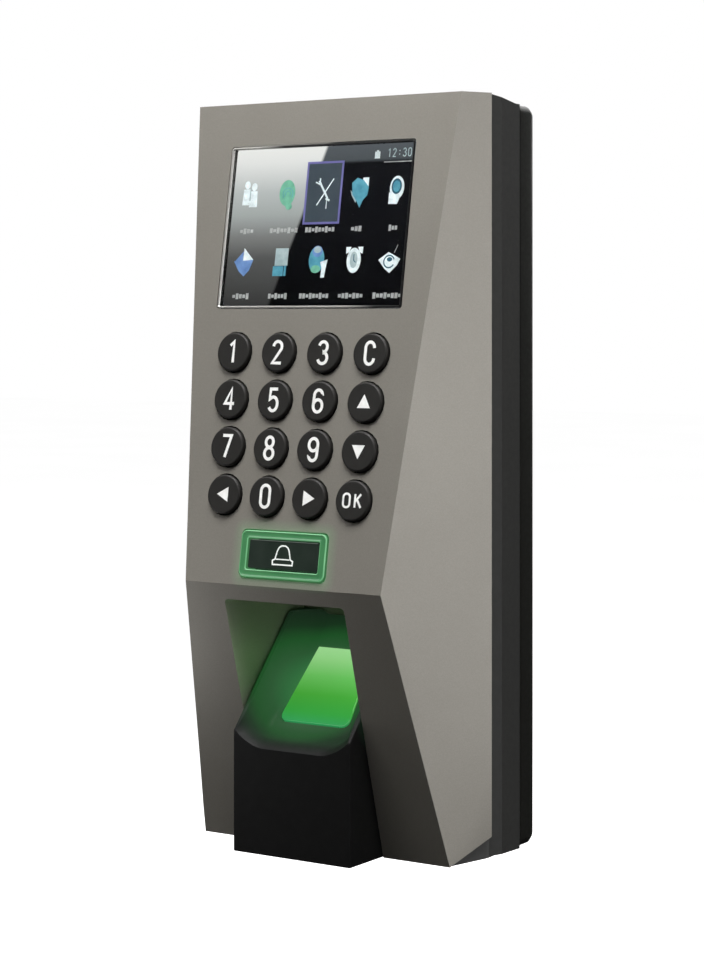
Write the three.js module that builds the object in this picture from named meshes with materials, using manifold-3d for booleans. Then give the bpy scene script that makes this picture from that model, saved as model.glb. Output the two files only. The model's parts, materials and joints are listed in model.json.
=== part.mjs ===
// Fingerprint scanner terminal for a wall: a faceted two-part casing with a colour display,
// sixteen keys, a bell button and an optical finger sensor, hung on a wall plate.
//
// Millimetres. +Z is up and the front looks along -Y. The origin is the centre of the wall
// plate's back face. Two working measures are used for all depths and heights:
//   ahead   distance in front of the parting plane between cover and rear housing
//   height  distance above the lowest edge of the casing

import * as THREE from 'three';
import { mergeVertices } from 'three/addons/utils/BufferGeometryUtils.js';
import Module from 'manifold-3d';

const wasm = await Module();
wasm.setup();

// ---------------------------------------------------------------- driving dimensions

const HEIGHT = 172;
const HALF_WIDTH = 40;
const ORIGIN_HEIGHT = 86;
const PLATE_BACK = -21.2;
const PLATE_FRONT = -13;
const HOUSING_BACK = -12.7;
const HOUSING_FRONT = -0.4;
const GAP = 0.3;

// Cover outline: front edge at three heights, as distance ahead and half width.
const BOTTOM_EDGE = { height: 0, ahead: 7.8, half: 33.8 };
const CHIN_EDGE = { height: 61.5, ahead: 25, half: 26.6 };
const TOP_EDGE = { height: HEIGHT, ahead: 6.8, half: 36.2 };
const SIDE_FOOT = 6.2;
const COVER_WALL = 2;
const COVER_FOOT_WALL = 2.4;
const LOWER_STEPS = 3;

// Finger recess and sensor hood.
const RECESS_HALF = 16.3;
const RECESS_TOP = 57.9;
const RECESS_BACK = -8;
const RECESS_WALL = 1.8;
const RECESS_CORNER = 1;
const HOOD_HALF = 16;
const HOOD_FRONT = 21;
const HOOD_LIP = 27.7;
const HOOD_CREST = { ahead: -1.2, height: 52.55 };
const HOOD_WALL = 1.8;
const TROUGH_DEPTH = 5.5;
const TROUGH_LIP_DEPTH = 2.35;

// Display, keys and bell, on the upper panel: x across, y above the chin, z out of it.
const WINDOW = { width: 51, height: 38.6, y: 82.5, corner: 0.8 };
const KEY_RADIUS = 4.5;
const KEY_PROUD = 0.95;
const KEY_FLANGE = 5.2;
const KEY_PITCH_X = 11.75;
const KEY_SPREAD = 0.26;
const KEY_PITCH_Y = 10.95;
const KEY_FIRST_Y = 20.2;
const KEY_BOTTOM = -3.2;
const KEY_TRAVEL = 0.8;
const KEY_SIDES = 20;
const KEY_CLEARANCE = 0.35;
const KEY_FLANGE_THICK = 0.65;
const BELL = {
  width: 19, height: 6.5, y: 7.2, corner: 0.4, proud: 0.15, back: -4.4, flangeTop: -3.75,
};
const RING = {
  width: 23.2, height: 10.5, y: 7.2, corner: 1.4, proud: 0.5, back: -3.4, flangeTop: -2.5,
};

// Boards.
const BOARD_THICK = 1.6;
const MAIN_BOARD = { half: 34.6, low: 62, high: 150, back: 2.4 };
const KEYPAD_BOARD = { half: 24.5, low: 0.6, high: 59.5, top: -5.3 };

// Wall fixing.
const HOOKS = [[-27, 40], [27, 40], [-27, 140], [27, 140]];
const HOOK = { width: 8, stem: 2, rise: 7, lift: 8 };
const CABLE_OPENING = { half: 20, low: 64, high: 86, plateHigh: 80 };
const LOCK_SCREW = { x: 27, ahead: -8.2 };
const TAMPER = { x: 20, height: 112, radius: 1.5, clearance: 0.35, boss: 3, well: 2.6 };

const KEY_ROWS = [
  ['left', '0', 'right', 'ok'],
  ['7', '8', '9', 'down'],
  ['4', '5', '6', 'up'],
  ['1', '2', '3', 'clear'],
];

// ---------------------------------------------------------------- materials

function material(color, roughness, metalness) {
  return new THREE.MeshStandardMaterial({ color, roughness, metalness });
}

const COVER_PAINT = material(0x938d83, 0.45, 0.35);
const HOUSING_PLASTIC = material(0x3a3a38, 0.55, 0);
const BLACK_PLASTIC = material(0x171717, 0.5, 0);
const KEY_RUBBER = material(0x262423, 0.6, 0);
const GLOSS_BLACK = material(0x0c0c0e, 0.12, 0);
const LIGHT_GUIDE = material(0x3fa565, 0.3, 0);
const SENSOR_GLASS = material(0x5fbf4f, 0.1, 0);
const CLEAR_GLASS = material(0x20242a, 0.05, 0);
const SCREEN = material(0x101420, 0.3, 0);
const STEEL = material(0x9a9c9e, 0.35, 0.9);
const BOARD_GREEN = material(0x1f5a35, 0.5, 0);
const SILICONE = material(0x8d8f92, 0.7, 0);
const RIBBON = material(0xb9772a, 0.45, 0);
const BRIGHT_METAL = material(0xc4c4c2, 0.25, 1);
const CONNECTOR_GREEN = material(0x2f8a4c, 0.5, 0);

// ---------------------------------------------------------------- solids

function solidOf(geometry, matrix = new THREE.Matrix4()) {
  const bare = geometry.index ? geometry.toNonIndexed() : geometry.clone();
  bare.deleteAttribute('normal');
  bare.deleteAttribute('uv');
  bare.applyMatrix4(matrix);
  const merged = mergeVertices(bare, 1e-4);
  const corners = [];
  for (let i = 0; i < merged.index.count; i += 3) {
    const [a, b, c] = [0, 1, 2].map((k) => merged.index.getX(i + k));
    if (a !== b && b !== c && c !== a) corners.push(a, b, c);
  }
  return new wasm.Manifold(new wasm.Mesh({
    numProp: 3,
    vertProperties: new Float32Array(merged.attributes.position.array),
    triVerts: new Uint32Array(corners),
  }));
}

function geometryOf(solid) {
  const raw = solid.getMesh();
  const geometry = new THREE.BufferGeometry();
  geometry.setAttribute('position', new THREE.BufferAttribute(raw.vertProperties, raw.numProp));
  geometry.setIndex(new THREE.BufferAttribute(raw.triVerts, 1));
  geometry.computeVertexNormals();
  return geometry;
}

function joined(...solids) {
  return solids.reduce((sum, next) => sum.add(next));
}

function cutBy(solid, cutters) {
  return cutters.reduce((rest, cutter) => rest.subtract(cutter), solid);
}

// A box between two corners.
function block(low, high) {
  const size = high.map((value, i) => value - low[i]);
  const middle = high.map((value, i) => (value + low[i]) / 2);
  const place = new THREE.Matrix4().makeTranslation(...middle);
  return solidOf(new THREE.BoxGeometry(...size), place);
}

// A box in casing measures: x, ahead and height ranges.
function casingBlock([x0, x1], [ahead0, ahead1], [height0, height1]) {
  return block([x0, toY(ahead1), toZ(height0)], [x1, toY(ahead0), toZ(height1)]);
}

function toY(ahead) {
  return PLATE_BACK - ahead;
}

function toZ(height) {
  return height - ORIGIN_HEIGHT;
}

// A prism: an outline in x and y, from z0 to z1.
function prism(outline, z0, z1) {
  const shape = outline instanceof THREE.Shape
    ? outline
    : new THREE.Shape(outline.map(([x, y]) => new THREE.Vector2(x, y)));
  const geometry = new THREE.ExtrudeGeometry(shape, {
    depth: z1 - z0, bevelEnabled: false, curveSegments: 5,
  });
  return solidOf(geometry, new THREE.Matrix4().makeTranslation(0, 0, z0));
}

// A prism whose outline is a side view, given as [ahead, height] pairs.
function sidePrism(outline, x0, x1) {
  const flat = outline.map(([ahead, height]) => [toY(ahead), toZ(height)]);
  const upright = new THREE.Matrix4().makeBasis(
    new THREE.Vector3(0, 1, 0), new THREE.Vector3(0, 0, 1), new THREE.Vector3(1, 0, 0),
  );
  return moved(prism(flat, x0, x1), upright);
}

// A prism whose outline is a front view in x and height, between two depths.
function frontPrism(shape, ahead0, ahead1) {
  const facing = new THREE.Matrix4().makeRotationX(Math.PI / 2);
  facing.setPosition(0, toY(0), toZ(0));
  return moved(prism(shape, ahead0, ahead1), facing);
}

function moved(solid, matrix) {
  return solid.transform(matrix.elements);
}

function roundedRect(width, height, radius, cx = 0, cy = 0) {
  const [x, y] = [width / 2, height / 2];
  const shape = new THREE.Shape();
  shape.moveTo(cx - x + radius, cy - y);
  shape.lineTo(cx + x - radius, cy - y);
  shape.absarc(cx + x - radius, cy - y + radius, radius, -Math.PI / 2, 0);
  shape.lineTo(cx + x, cy + y - radius);
  shape.absarc(cx + x - radius, cy + y - radius, radius, 0, Math.PI / 2);
  shape.lineTo(cx - x + radius, cy + y);
  shape.absarc(cx - x + radius, cy + y - radius, radius, Math.PI / 2, Math.PI);
  shape.lineTo(cx - x, cy - y + radius);
  shape.absarc(cx - x + radius, cy - y + radius, radius, Math.PI, Math.PI * 1.5);
  return shape;
}

// A round bar along local z.
function bar(radius, z0, z1, x = 0, y = 0, sides = 16) {
  const geometry = new THREE.CylinderGeometry(radius, radius, z1 - z0, sides);
  const place = new THREE.Matrix4().makeRotationX(Math.PI / 2);
  place.setPosition(x, y, (z0 + z1) / 2);
  return solidOf(geometry, place);
}

// A round bar from front to back.
function depthBar(radius, ahead0, ahead1, x, height, sides = 16) {
  const facing = new THREE.Matrix4().makeRotationX(Math.PI / 2);
  facing.setPosition(0, toY(0), toZ(0));
  return moved(bar(radius, ahead0, ahead1, x, height, sides), facing);
}

// A body turned about local z: [radius, z] pairs from axis to axis.
function turned(profile, sides) {
  const points = profile.map(([radius, z]) => new THREE.Vector2(radius, z));
  const upright = new THREE.Matrix4().makeRotationX(Math.PI / 2);
  return solidOf(new THREE.LatheGeometry(points, sides), upright);
}

// A body through equal-sided convex sections, each a list of points in order.
function loft(sections) {
  const sides = sections[0].length;
  const points = sections.flat().flat();
  const faces = [];
  for (let level = 0; level + 1 < sections.length; level += 1) {
    for (let i = 0; i < sides; i += 1) {
      const a = level * sides + i;
      const b = level * sides + ((i + 1) % sides);
      faces.push(a, b, b + sides, a, b + sides, a + sides);
    }
  }
  const last = (sections.length - 1) * sides;
  for (let i = 1; i + 1 < sides; i += 1) {
    faces.push(0, i + 1, i);
    faces.push(last, last + i, last + i + 1);
  }
  const geometry = new THREE.BufferGeometry();
  geometry.setAttribute('position', new THREE.Float32BufferAttribute(points, 3));
  geometry.setIndex(faces);
  return solidOf(geometry);
}

function mesh(name, solid, look) {
  const node = new THREE.Mesh(geometryOf(solid), look);
  node.name = name;
  return node;
}

// ---------------------------------------------------------------- local frames

// Upper panel: x across, y up along the panel from the chin, z out of the panel.
const PANEL_RISE = Math.atan2(
  TOP_EDGE.height - CHIN_EDGE.height,
  CHIN_EDGE.ahead - TOP_EDGE.ahead,
);
const panel = new THREE.Group();
panel.position.set(0, toY(CHIN_EDGE.ahead), toZ(CHIN_EDGE.height));
panel.rotation.x = PANEL_RISE;
panel.updateMatrix();

// Cradle of the sensor hood: y up the slope from the hood's front lip, z out of the slope.
const CRADLE_RISE = Math.atan2(
  HOOD_CREST.height - HOOD_LIP,
  HOOD_FRONT - HOOD_CREST.ahead,
);
const cradle = new THREE.Group();
cradle.position.set(0, toY(HOOD_FRONT), toZ(HOOD_LIP));
cradle.rotation.x = CRADLE_RISE;
cradle.updateMatrix();

function onPanel(solid) {
  return moved(solid, panel.matrix);
}

function onCradle(solid) {
  return moved(solid, cradle.matrix);
}

// ---------------------------------------------------------------- front cover

// Front edge of the casing at any height, between the three named edges.
function edgeAt(height) {
  const [low, high] = height < CHIN_EDGE.height
    ? [BOTTOM_EDGE, CHIN_EDGE]
    : [CHIN_EDGE, TOP_EDGE];
  const t = (height - low.height) / (high.height - low.height);
  return {
    height,
    ahead: THREE.MathUtils.lerp(low.ahead, high.ahead, t),
    half: THREE.MathUtils.lerp(low.half, high.half, t),
  };
}

// One level section of the casing, drawn inwards by a wall thickness.
function casingSection(edge, wall, back) {
  const flare = (HALF_WIDTH - edge.half) / edge.ahead;
  const ahead = edge.ahead - wall;
  const half = HALF_WIDTH - wall * Math.hypot(1, flare);
  const corners = [
    [half - flare * back, back], [half - flare * ahead, ahead],
    [flare * ahead - half, ahead], [flare * back - half, back],
  ];
  return corners.reverse().map(([x, depth]) => [x, toY(depth), toZ(edge.height)]);
}

function casingBody(wall, top, back) {
  const heights = [];
  for (let step = 0; step < LOWER_STEPS; step += 1) {
    heights.push((CHIN_EDGE.height * step) / LOWER_STEPS);
  }
  heights.push(CHIN_EDGE.height, top);
  return loft(heights.map((height) => casingSection(edgeAt(height), wall, back)));
}

// Everything under the sloping lower edge of the cover's sides.
function underSlope(lift) {
  const run = BOTTOM_EDGE.ahead;
  const slope = SIDE_FOOT / run;
  const reach = 4;
  return sidePrism([
    [run + reach, lift - slope * reach],
    [run + reach, -reach - SIDE_FOOT],
    [-reach, -reach - SIDE_FOOT],
    [-reach, lift + SIDE_FOOT + slope * reach],
  ], -HALF_WIDTH - 1, HALF_WIDTH + 1);
}

const HOUSING_SCREWS = [[-34, 160], [34, 160], [-30, 15], [30, 15]];
const BOARD_SCREWS = [[-32.8, 66], [32.8, 66], [-32.8, 146], [32.8, 146]];
const KEYPAD_SCREWS = [[-19, 8], [19, 8]];
const HOOD_SCREWS = [[-11, 12], [11, 12]];
const SCREW_HOLE = 1.45;
const SMALL_SCREW_HOLE = 1.2;
const HOOD_SCREW_HOLE = 1.4;
const HOOD_SCREW_CLEARANCE = 1.5;
const LOCK_SCREW_HOLE = 1.6;
const WALL_SCREW_HOLE = 2.2;
const HEAD_WELL = 2.9;
const BOSS_RADIUS = 2.8;
const BOARD_BOSS_RADIUS = 2.2;
const KEYPAD_BOSS_RADIUS = 2.5;
const HOUSING_BOSS_RADIUS = 3.4;
const HOOD_POST_RADIUS = 2.6;

function keyPlaces() {
  return KEY_ROWS.flatMap((row, line) => row.map((label, column) => ({
    label,
    x: (column - (row.length - 1) / 2) * (KEY_PITCH_X + line * KEY_SPREAD),
    y: KEY_FIRST_Y + line * KEY_PITCH_Y,
  })));
}

function recessOutline(half, top, low) {
  const middle = (top + low) / 2;
  return roundedRect(half * 2, top - low, RECESS_CORNER, 0, middle);
}

function frontCover() {
  const outer = casingBody(0, HEIGHT, 0);
  const inner = casingBody(COVER_WALL, HEIGHT - COVER_WALL, -1).subtract(underSlope(COVER_FOOT_WALL));
  const shell = outer.subtract(underSlope(0)).subtract(inner);

  const tubeHalf = RECESS_HALF + RECESS_WALL;
  const tubeBack = RECESS_BACK - 1.5;
  const tubeLow = 1.3;
  const tubeTop = RECESS_TOP + RECESS_WALL;
  const behind = casingBlock([-tubeHalf, tubeHalf], [tubeBack, 0.1], [tubeLow, tubeTop]);
  const tube = casingBlock([-tubeHalf, tubeHalf], [tubeBack, CHIN_EDGE.ahead], [tubeLow, tubeTop])
    .intersect(joined(outer, behind));

  const bosses = joined(
    ...HOUSING_SCREWS.map(([x, height]) => depthBar(BOSS_RADIUS, 0, 12, x, height)),
    ...BOARD_SCREWS.map(([x, height]) => depthBar(
      BOARD_BOSS_RADIUS, MAIN_BOARD.back + BOARD_THICK + GAP, 16, x, height,
    )),
    ...KEYPAD_SCREWS.map(([x, y]) => onPanel(bar(KEYPAD_BOSS_RADIUS, KEYPAD_BOARD.top + GAP, -1, x, y))),
  ).intersect(outer);

  const cuts = [
    frontPrism(recessOutline(RECESS_HALF, RECESS_TOP, -5), RECESS_BACK, 30),
    casingBlock([-5, 5], [tubeBack - 1, RECESS_BACK + 1], [33, 36]),
    onPanel(prism(roundedRect(WINDOW.width, WINDOW.height, WINDOW.corner, 0, WINDOW.y), -8, 2)),
    onPanel(prism(
      roundedRect(RING.width + 2 * GAP, RING.height + 2 * GAP, RING.corner, 0, RING.y), -4, 2,
    )),
    ...keyPlaces().map(({ x, y }) => onPanel(bar(KEY_RADIUS + KEY_CLEARANCE, -4, 2, x, y, KEY_SIDES))),
    ...HOUSING_SCREWS.map(([x, height]) => depthBar(SCREW_HOLE, -1, 4.6, x, height, 12)),
    ...BOARD_SCREWS.map(([x, height]) => depthBar(SMALL_SCREW_HOLE, 0, 8.6, x, height, 12)),
    ...KEYPAD_SCREWS.map(([x, y]) => onPanel(bar(SMALL_SCREW_HOLE, -8, -2.8, x, y, 12))),
    ...HOOD_SCREWS.map(([x, height]) => depthBar(
      HOOD_SCREW_CLEARANCE, tubeBack - 1, RECESS_BACK + 1, x, height, 12,
    )),
  ];
  return mesh('front_cover', cutBy(joined(shell, tube, bosses), cuts), COVER_PAINT);
}

// ---------------------------------------------------------------- rear housing

const HOUSING_WALL_FRONT = -11.2;
const TOP_BEND = { ahead: -10.8, height: 170.4 };
const BOTTOM_BEND = { ahead: -2, height: 1.5 };
const BOTTOM_AT_BACK = 1.2;
const HOUSING_INSIDE = { half: 37.8, low: 8.5, high: 168, footLow: 3.2 };

function hookSlot(x, height) {
  const slack = 0.6;
  const half = HOOK.width / 2 + slack;
  return casingBlock(
    [x - half, x + half], [HOUSING_BACK - 1, HOUSING_WALL_FRONT + 1],
    [height - HOOK.lift - slack, height + HOOK.stem + GAP],
  );
}

function rearHousing() {
  const side = sidePrism([
    [7.3, 0.02], [7.3, 0.15], [HOUSING_FRONT, 6.1], [HOUSING_FRONT, HEIGHT],
    [TOP_BEND.ahead, TOP_BEND.height], [HOUSING_BACK, TOP_BEND.height],
    [HOUSING_BACK, BOTTOM_AT_BACK], [BOTTOM_BEND.ahead, BOTTOM_BEND.height],
  ], -HALF_WIDTH, HALF_WIDTH);
  const halfPlan = [[HALF_WIDTH, HOUSING_BACK], [HALF_WIDTH, -4.5], [39, -0.4], [38.5, 0.4], [33.4, 7.3]];
  const plan = [...halfPlan, ...halfPlan.map(([x, ahead]) => [-x, ahead]).reverse()]
    .map(([x, ahead]) => [x, toY(ahead)])
    .reverse();
  const outer = side.intersect(prism(plan, toZ(-1), toZ(HEIGHT)));

  const tubeHalf = RECESS_HALF + RECESS_WALL + GAP;
  const inside = HOUSING_INSIDE;
  const across = [-inside.half, inside.half];
  const hollow = [
    casingBlock(across, [HOUSING_WALL_FRONT, 1], [inside.low, inside.high]),
    casingBlock(across, [HOUSING_WALL_FRONT, -2], [inside.footLow, 9]),
    casingBlock([-tubeHalf, tubeHalf], [-9.8, 9], [-1, 9]),
  ];
  const bosses = joined(
    ...HOUSING_SCREWS.map(([x, height]) => depthBar(HOUSING_BOSS_RADIUS, -12, -0.7, x, height)),
    depthBar(TAMPER.boss, -12, -6, TAMPER.x, TAMPER.height),
    casingBlock([LOCK_SCREW.x - 6.5, LOCK_SCREW.x + 6.5], [-12, -3], [2, 9]),
  );
  const cuts = [
    ...HOUSING_SCREWS.map(([x, height]) => depthBar(SCREW_HOLE, -14, 1, x, height, 12)),
    ...HOUSING_SCREWS.map(([x, height]) => depthBar(HEAD_WELL, -14, -10.8, x, height)),
    ...HOOKS.map(([x, height]) => hookSlot(x, height)),
    casingBlock(
      [-CABLE_OPENING.half, CABLE_OPENING.half], [HOUSING_BACK - 1, HOUSING_WALL_FRONT + 1],
      [CABLE_OPENING.low, CABLE_OPENING.high],
    ),
    casingBlock([LOCK_SCREW.x - 5.5, LOCK_SCREW.x + 5.5], [-14, -4.4], [-1, 4.4]),
    bar(LOCK_SCREW_HOLE, toZ(3), toZ(10), LOCK_SCREW.x, toY(LOCK_SCREW.ahead), 12),
    depthBar(TAMPER.radius + TAMPER.clearance, -14, -5, TAMPER.x, TAMPER.height),
    depthBar(TAMPER.well, HOUSING_WALL_FRONT, -5, TAMPER.x, TAMPER.height),
  ];
  return mesh('rear_housing', cutBy(joined(cutBy(outer, hollow), bosses), cuts), HOUSING_PLASTIC);
}

// ---------------------------------------------------------------- wall plate

const PLATE_LOW = 1.2;
const PLATE_HIGH = 170.4;
const PLATE_EDGE = 3.4;
const PLATE_CORNER = 2;
const PLATE_FLOOR = PLATE_BACK + 1.8;
const WALL_SCREW_HOLES = [[-12, 24], [12, 24], [-12, 150], [12, 150]];

// A level outline of the plate seen from the front, drawn in by an edge rounding.
function plateSection(ahead, inset) {
  const shape = roundedRect(
    2 * (HALF_WIDTH - inset), PLATE_HIGH - PLATE_LOW - 2 * inset, PLATE_CORNER,
    0, (PLATE_HIGH + PLATE_LOW) / 2,
  );
  return shape.extractPoints(3).shape.map((point) => [point.x, toY(ahead), toZ(point.y)]);
}

function hook(x, height) {
  const half = HOOK.width / 2;
  const across = [x - half, x + half];
  const stem = casingBlock(across, [PLATE_FLOOR - 0.5, -9.4], [height, height + HOOK.stem]);
  const lip = casingBlock(across, [-10.8, -9.4], [height, height + HOOK.rise]);
  return joined(stem, lip);
}

function wallPlate() {
  const rounding = [0, 1, 2, 3].map((step) => {
    const turn = (step / 3) * (Math.PI / 2);
    const ahead = PLATE_BACK + PLATE_EDGE * (1 - Math.cos(turn));
    return plateSection(ahead, PLATE_EDGE * (1 - Math.sin(turn)));
  });
  const body = loft([...rounding, plateSection(PLATE_FRONT, 0)]);
  const rim = 3;
  const pocket = casingBlock(
    [-HALF_WIDTH + rim, HALF_WIDTH - rim], [PLATE_FLOOR, 0], [PLATE_LOW + rim + 1, PLATE_HIGH - rim],
  );
  const flange = casingBlock(
    [LOCK_SCREW.x - 5, LOCK_SCREW.x + 5], [PLATE_FRONT - 1, -5], [2.4, 4],
  );
  const shape = joined(body.subtract(pocket), flange, ...HOOKS.map(([x, height]) => hook(x, height)));
  const cuts = [
    ...WALL_SCREW_HOLES.map(([x, height]) => depthBar(WALL_SCREW_HOLE, PLATE_BACK - 1, -15, x, height)),
    casingBlock(
      [-CABLE_OPENING.half, CABLE_OPENING.half], [PLATE_BACK - 1, -15],
      [CABLE_OPENING.low, CABLE_OPENING.plateHigh],
    ),
    bar(LOCK_SCREW_HOLE, toZ(2), toZ(4.4), LOCK_SCREW.x, toY(LOCK_SCREW.ahead), 12),
  ];
  return mesh('wall_plate', cutBy(shape, cuts), BLACK_PLASTIC);
}

// ---------------------------------------------------------------- fasteners

// A pan-head screw along local +z: head from 0 down, shank from 0 up.
function screwSolid(shankRadius, shankLength, headRadius, headHeight) {
  return turned([
    [0, -headHeight], [headRadius * 0.7, -headHeight], [headRadius, -headHeight * 0.45],
    [headRadius, 0], [shankRadius, 0], [shankRadius, shankLength], [0, shankLength],
  ], 10);
}

function screw(name, solid, matrix) {
  return mesh(name, moved(solid, matrix), BRIGHT_METAL);
}

// Screws driven from the back towards the front.
function forwardScrew(name, solid, x, ahead, height) {
  const place = new THREE.Matrix4().makeRotationX(Math.PI / 2);
  place.setPosition(x, toY(ahead), toZ(height));
  return screw(name, solid, place);
}

function casingScrews() {
  const long = screwSolid(1.1, 15, 2.5, 1.1);
  const short = screwSolid(0.85, 5.4, 1.8, 1);
  const hooded = screwSolid(1.1, 6.5, 2.2, 1);
  const lock = new THREE.Matrix4().makeTranslation(
    LOCK_SCREW.x, toY(LOCK_SCREW.ahead), toZ(2.1),
  );
  return [
    ...HOUSING_SCREWS.map(([x, h], i) => forwardScrew(`housing_screw_${i + 1}`, long, x, -11.1, h)),
    ...BOARD_SCREWS.map(([x, h], i) => forwardScrew(
      `board_screw_${i + 1}`, short, x, MAIN_BOARD.back - GAP, h,
    )),
    ...HOOD_SCREWS.map(([x, h], i) => forwardScrew(`hood_screw_${i + 1}`, hooded, x, -9.8, h)),
    screw('locking_screw', screwSolid(1.2, 7.4, 2.4, 0.8), lock),
  ];
}

// ---------------------------------------------------------------- display

function displayParts() {
  const glassTop = -0.6;
  const glassThick = 1.2;
  const fitted = { width: WINDOW.width - 2 * GAP, height: WINDOW.height - 2 * GAP };
  const plate = (width, height, z0, z1, corner = 0.6) => prism(
    roundedRect(width, height, corner, 0, WINDOW.y), z0, z1,
  );
  const frame = plate(fitted.width, fitted.height, -0.3, 0.12)
    .subtract(plate(fitted.width - 1.4, fitted.height - 1.4, -1, 1));
  const glass = plate(fitted.width, fitted.height, glassTop - glassThick, glassTop);
  const cell = plate(fitted.width - 0.2, fitted.height - 0.2, -3.4, -2.1);
  const tray = plate(60.2, 43.4, -5.6, -2.6, 1).subtract(plate(51, 38.6, -3.7, 0, 0.4));
  return [
    mesh('display_frame', frame, STEEL),
    mesh('display_window', glass, CLEAR_GLASS),
    mesh('lcd_panel', cell, SCREEN),
    mesh('lcd_tray', tray, STEEL),
  ];
}

// A flat ribbon: a path in the side view, thickened, between two x values.
function ribbon(path, thickness, x0, x1) {
  const points = path.map(([ahead, height]) => new THREE.Vector2(ahead, height));
  const offset = points.map((point, i) => {
    const before = points[Math.max(i - 1, 0)];
    const after = points[Math.min(i + 1, points.length - 1)];
    const along = after.clone().sub(before).normalize();
    return new THREE.Vector2(-along.y, along.x).multiplyScalar(thickness / 2);
  });
  const left = points.map((point, i) => point.clone().add(offset[i]));
  const right = points.map((point, i) => point.clone().sub(offset[i]));
  const outline = [...left, ...right.reverse()].map((point) => [point.x, point.y]);
  return sidePrism(outline, x0, x1);
}

// ---------------------------------------------------------------- keypad

function keySolid() {
  const flangeTop = KEY_BOTTOM + KEY_FLANGE_THICK;
  const round = 0.3;
  return turned([
    [0, KEY_BOTTOM], [KEY_FLANGE, KEY_BOTTOM], [KEY_FLANGE, flangeTop], [KEY_RADIUS, flangeTop],
    [KEY_RADIUS, KEY_PROUD - round], [KEY_RADIUS - round, KEY_PROUD], [0, KEY_PROUD],
  ], KEY_SIDES);
}

function keys() {
  const cap = keySolid();
  return keyPlaces().map(({ label, x, y }) => {
    const key = mesh(`key_${label}`, cap, KEY_RUBBER);
    key.position.set(x, y, 0);
    return key;
  });
}

function bellParts() {
  const ringHole = roundedRect(BELL.width + 0.6, BELL.height + 0.6, BELL.corner, 0, BELL.y);
  const ring = joined(
    prism(roundedRect(RING.width, RING.height, RING.corner, 0, RING.y), RING.back, RING.proud),
    prism(roundedRect(RING.width + 2, RING.height + 1.6, RING.corner, 0, RING.y), RING.back, RING.flangeTop),
  ).subtract(prism(ringHole, -5, 5));
  const button = joined(
    prism(roundedRect(BELL.width, BELL.height, BELL.corner, 0, BELL.y), BELL.back, BELL.proud),
    prism(
      roundedRect(BELL.width + 1.6, BELL.height + 1.6, BELL.corner, 0, BELL.y),
      BELL.back, BELL.flangeTop,
    ),
  );
  return [
    mesh('bell_light_ring', ring, LIGHT_GUIDE),
    mesh('bell_button', button, GLOSS_BLACK),
  ];
}

function keypadParts() {
  const { half, low, high, top } = KEYPAD_BOARD;
  const board = block([-half, low, top - BOARD_THICK], [half, high, top]);
  const domeTop = KEY_BOTTOM - KEY_TRAVEL - GAP;
  const domes = keyPlaces().map(({ x, y }) => bar(1.4, top - 0.5, domeTop, x, y, 10));
  const holes = KEYPAD_SCREWS.map(([x, y]) => bar(SMALL_SCREW_HOLE, top - 3, top + 1, x, y, 12));
  const mat = cutBy(
    block([-half + 0.6, 14.4, top + GAP], [half - 0.6, high, top + 1]),
    keyPlaces().map(({ x, y }) => bar(1.9, top - 1, top + 3, x, y, 10)),
  );
  const screws = KEYPAD_SCREWS.map(([x, y], i) => {
    const place = new THREE.Matrix4().makeTranslation(x, y, top - BOARD_THICK - GAP);
    return screw(`keypad_screw_${i + 1}`, screwSolid(0.85, 4, 1.8, 1), place);
  });
  return [
    mesh('keypad_board', cutBy(joined(board, ...domes), holes), BOARD_GREEN),
    mesh('keypad_mat', mat, SILICONE),
    ...screws,
  ];
}

// ---------------------------------------------------------------- finger sensor

// The finger trough: a channel that runs up the cradle, flat below and flared at the rim.
function troughSection(y, depth, floorHalf, rimHalf) {
  const above = 3;
  const steps = 5;
  const flank = [];
  for (let i = 0; i <= steps; i += 1) {
    const t = i / steps;
    const x = THREE.MathUtils.lerp(rimHalf, floorHalf, t);
    flank.push([x, y, -depth * Math.sin((t * Math.PI) / 2)]);
  }
  const right = [[rimHalf, y, above], ...flank];
  const left = right.map(([x, along, z]) => [-x, along, z]).reverse();
  return [...right, ...left];
}

function trough() {
  return loft([
    troughSection(-8, 1.6, 7, 16.2),
    troughSection(-2.3, TROUGH_LIP_DEPTH, 7.5, 15.6),
    troughSection(6, TROUGH_DEPTH, 10.2, 14.8),
    troughSection(29, TROUGH_DEPTH, 8.4, 14.6),
    troughSection(48, TROUGH_DEPTH, 8.2, 14.6),
  ]);
}

// The sensor window's outline, wider at its lower end, drawn in by a margin.
function windowOutline(margin) {
  const [low, high] = [6.8 + margin, 28 - margin];
  const [wide, narrow, corner] = [9.8 - margin, 7.9 - margin, 2.4];
  const shape = new THREE.Shape();
  shape.moveTo(-wide + corner, low);
  shape.lineTo(wide - corner, low);
  shape.quadraticCurveTo(wide, low, wide - 0.2, low + corner);
  shape.lineTo(narrow, high);
  shape.lineTo(-narrow, high);
  shape.lineTo(-wide + 0.2, low + corner);
  shape.quadraticCurveTo(-wide, low, -wide + corner, low);
  return shape;
}

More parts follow.
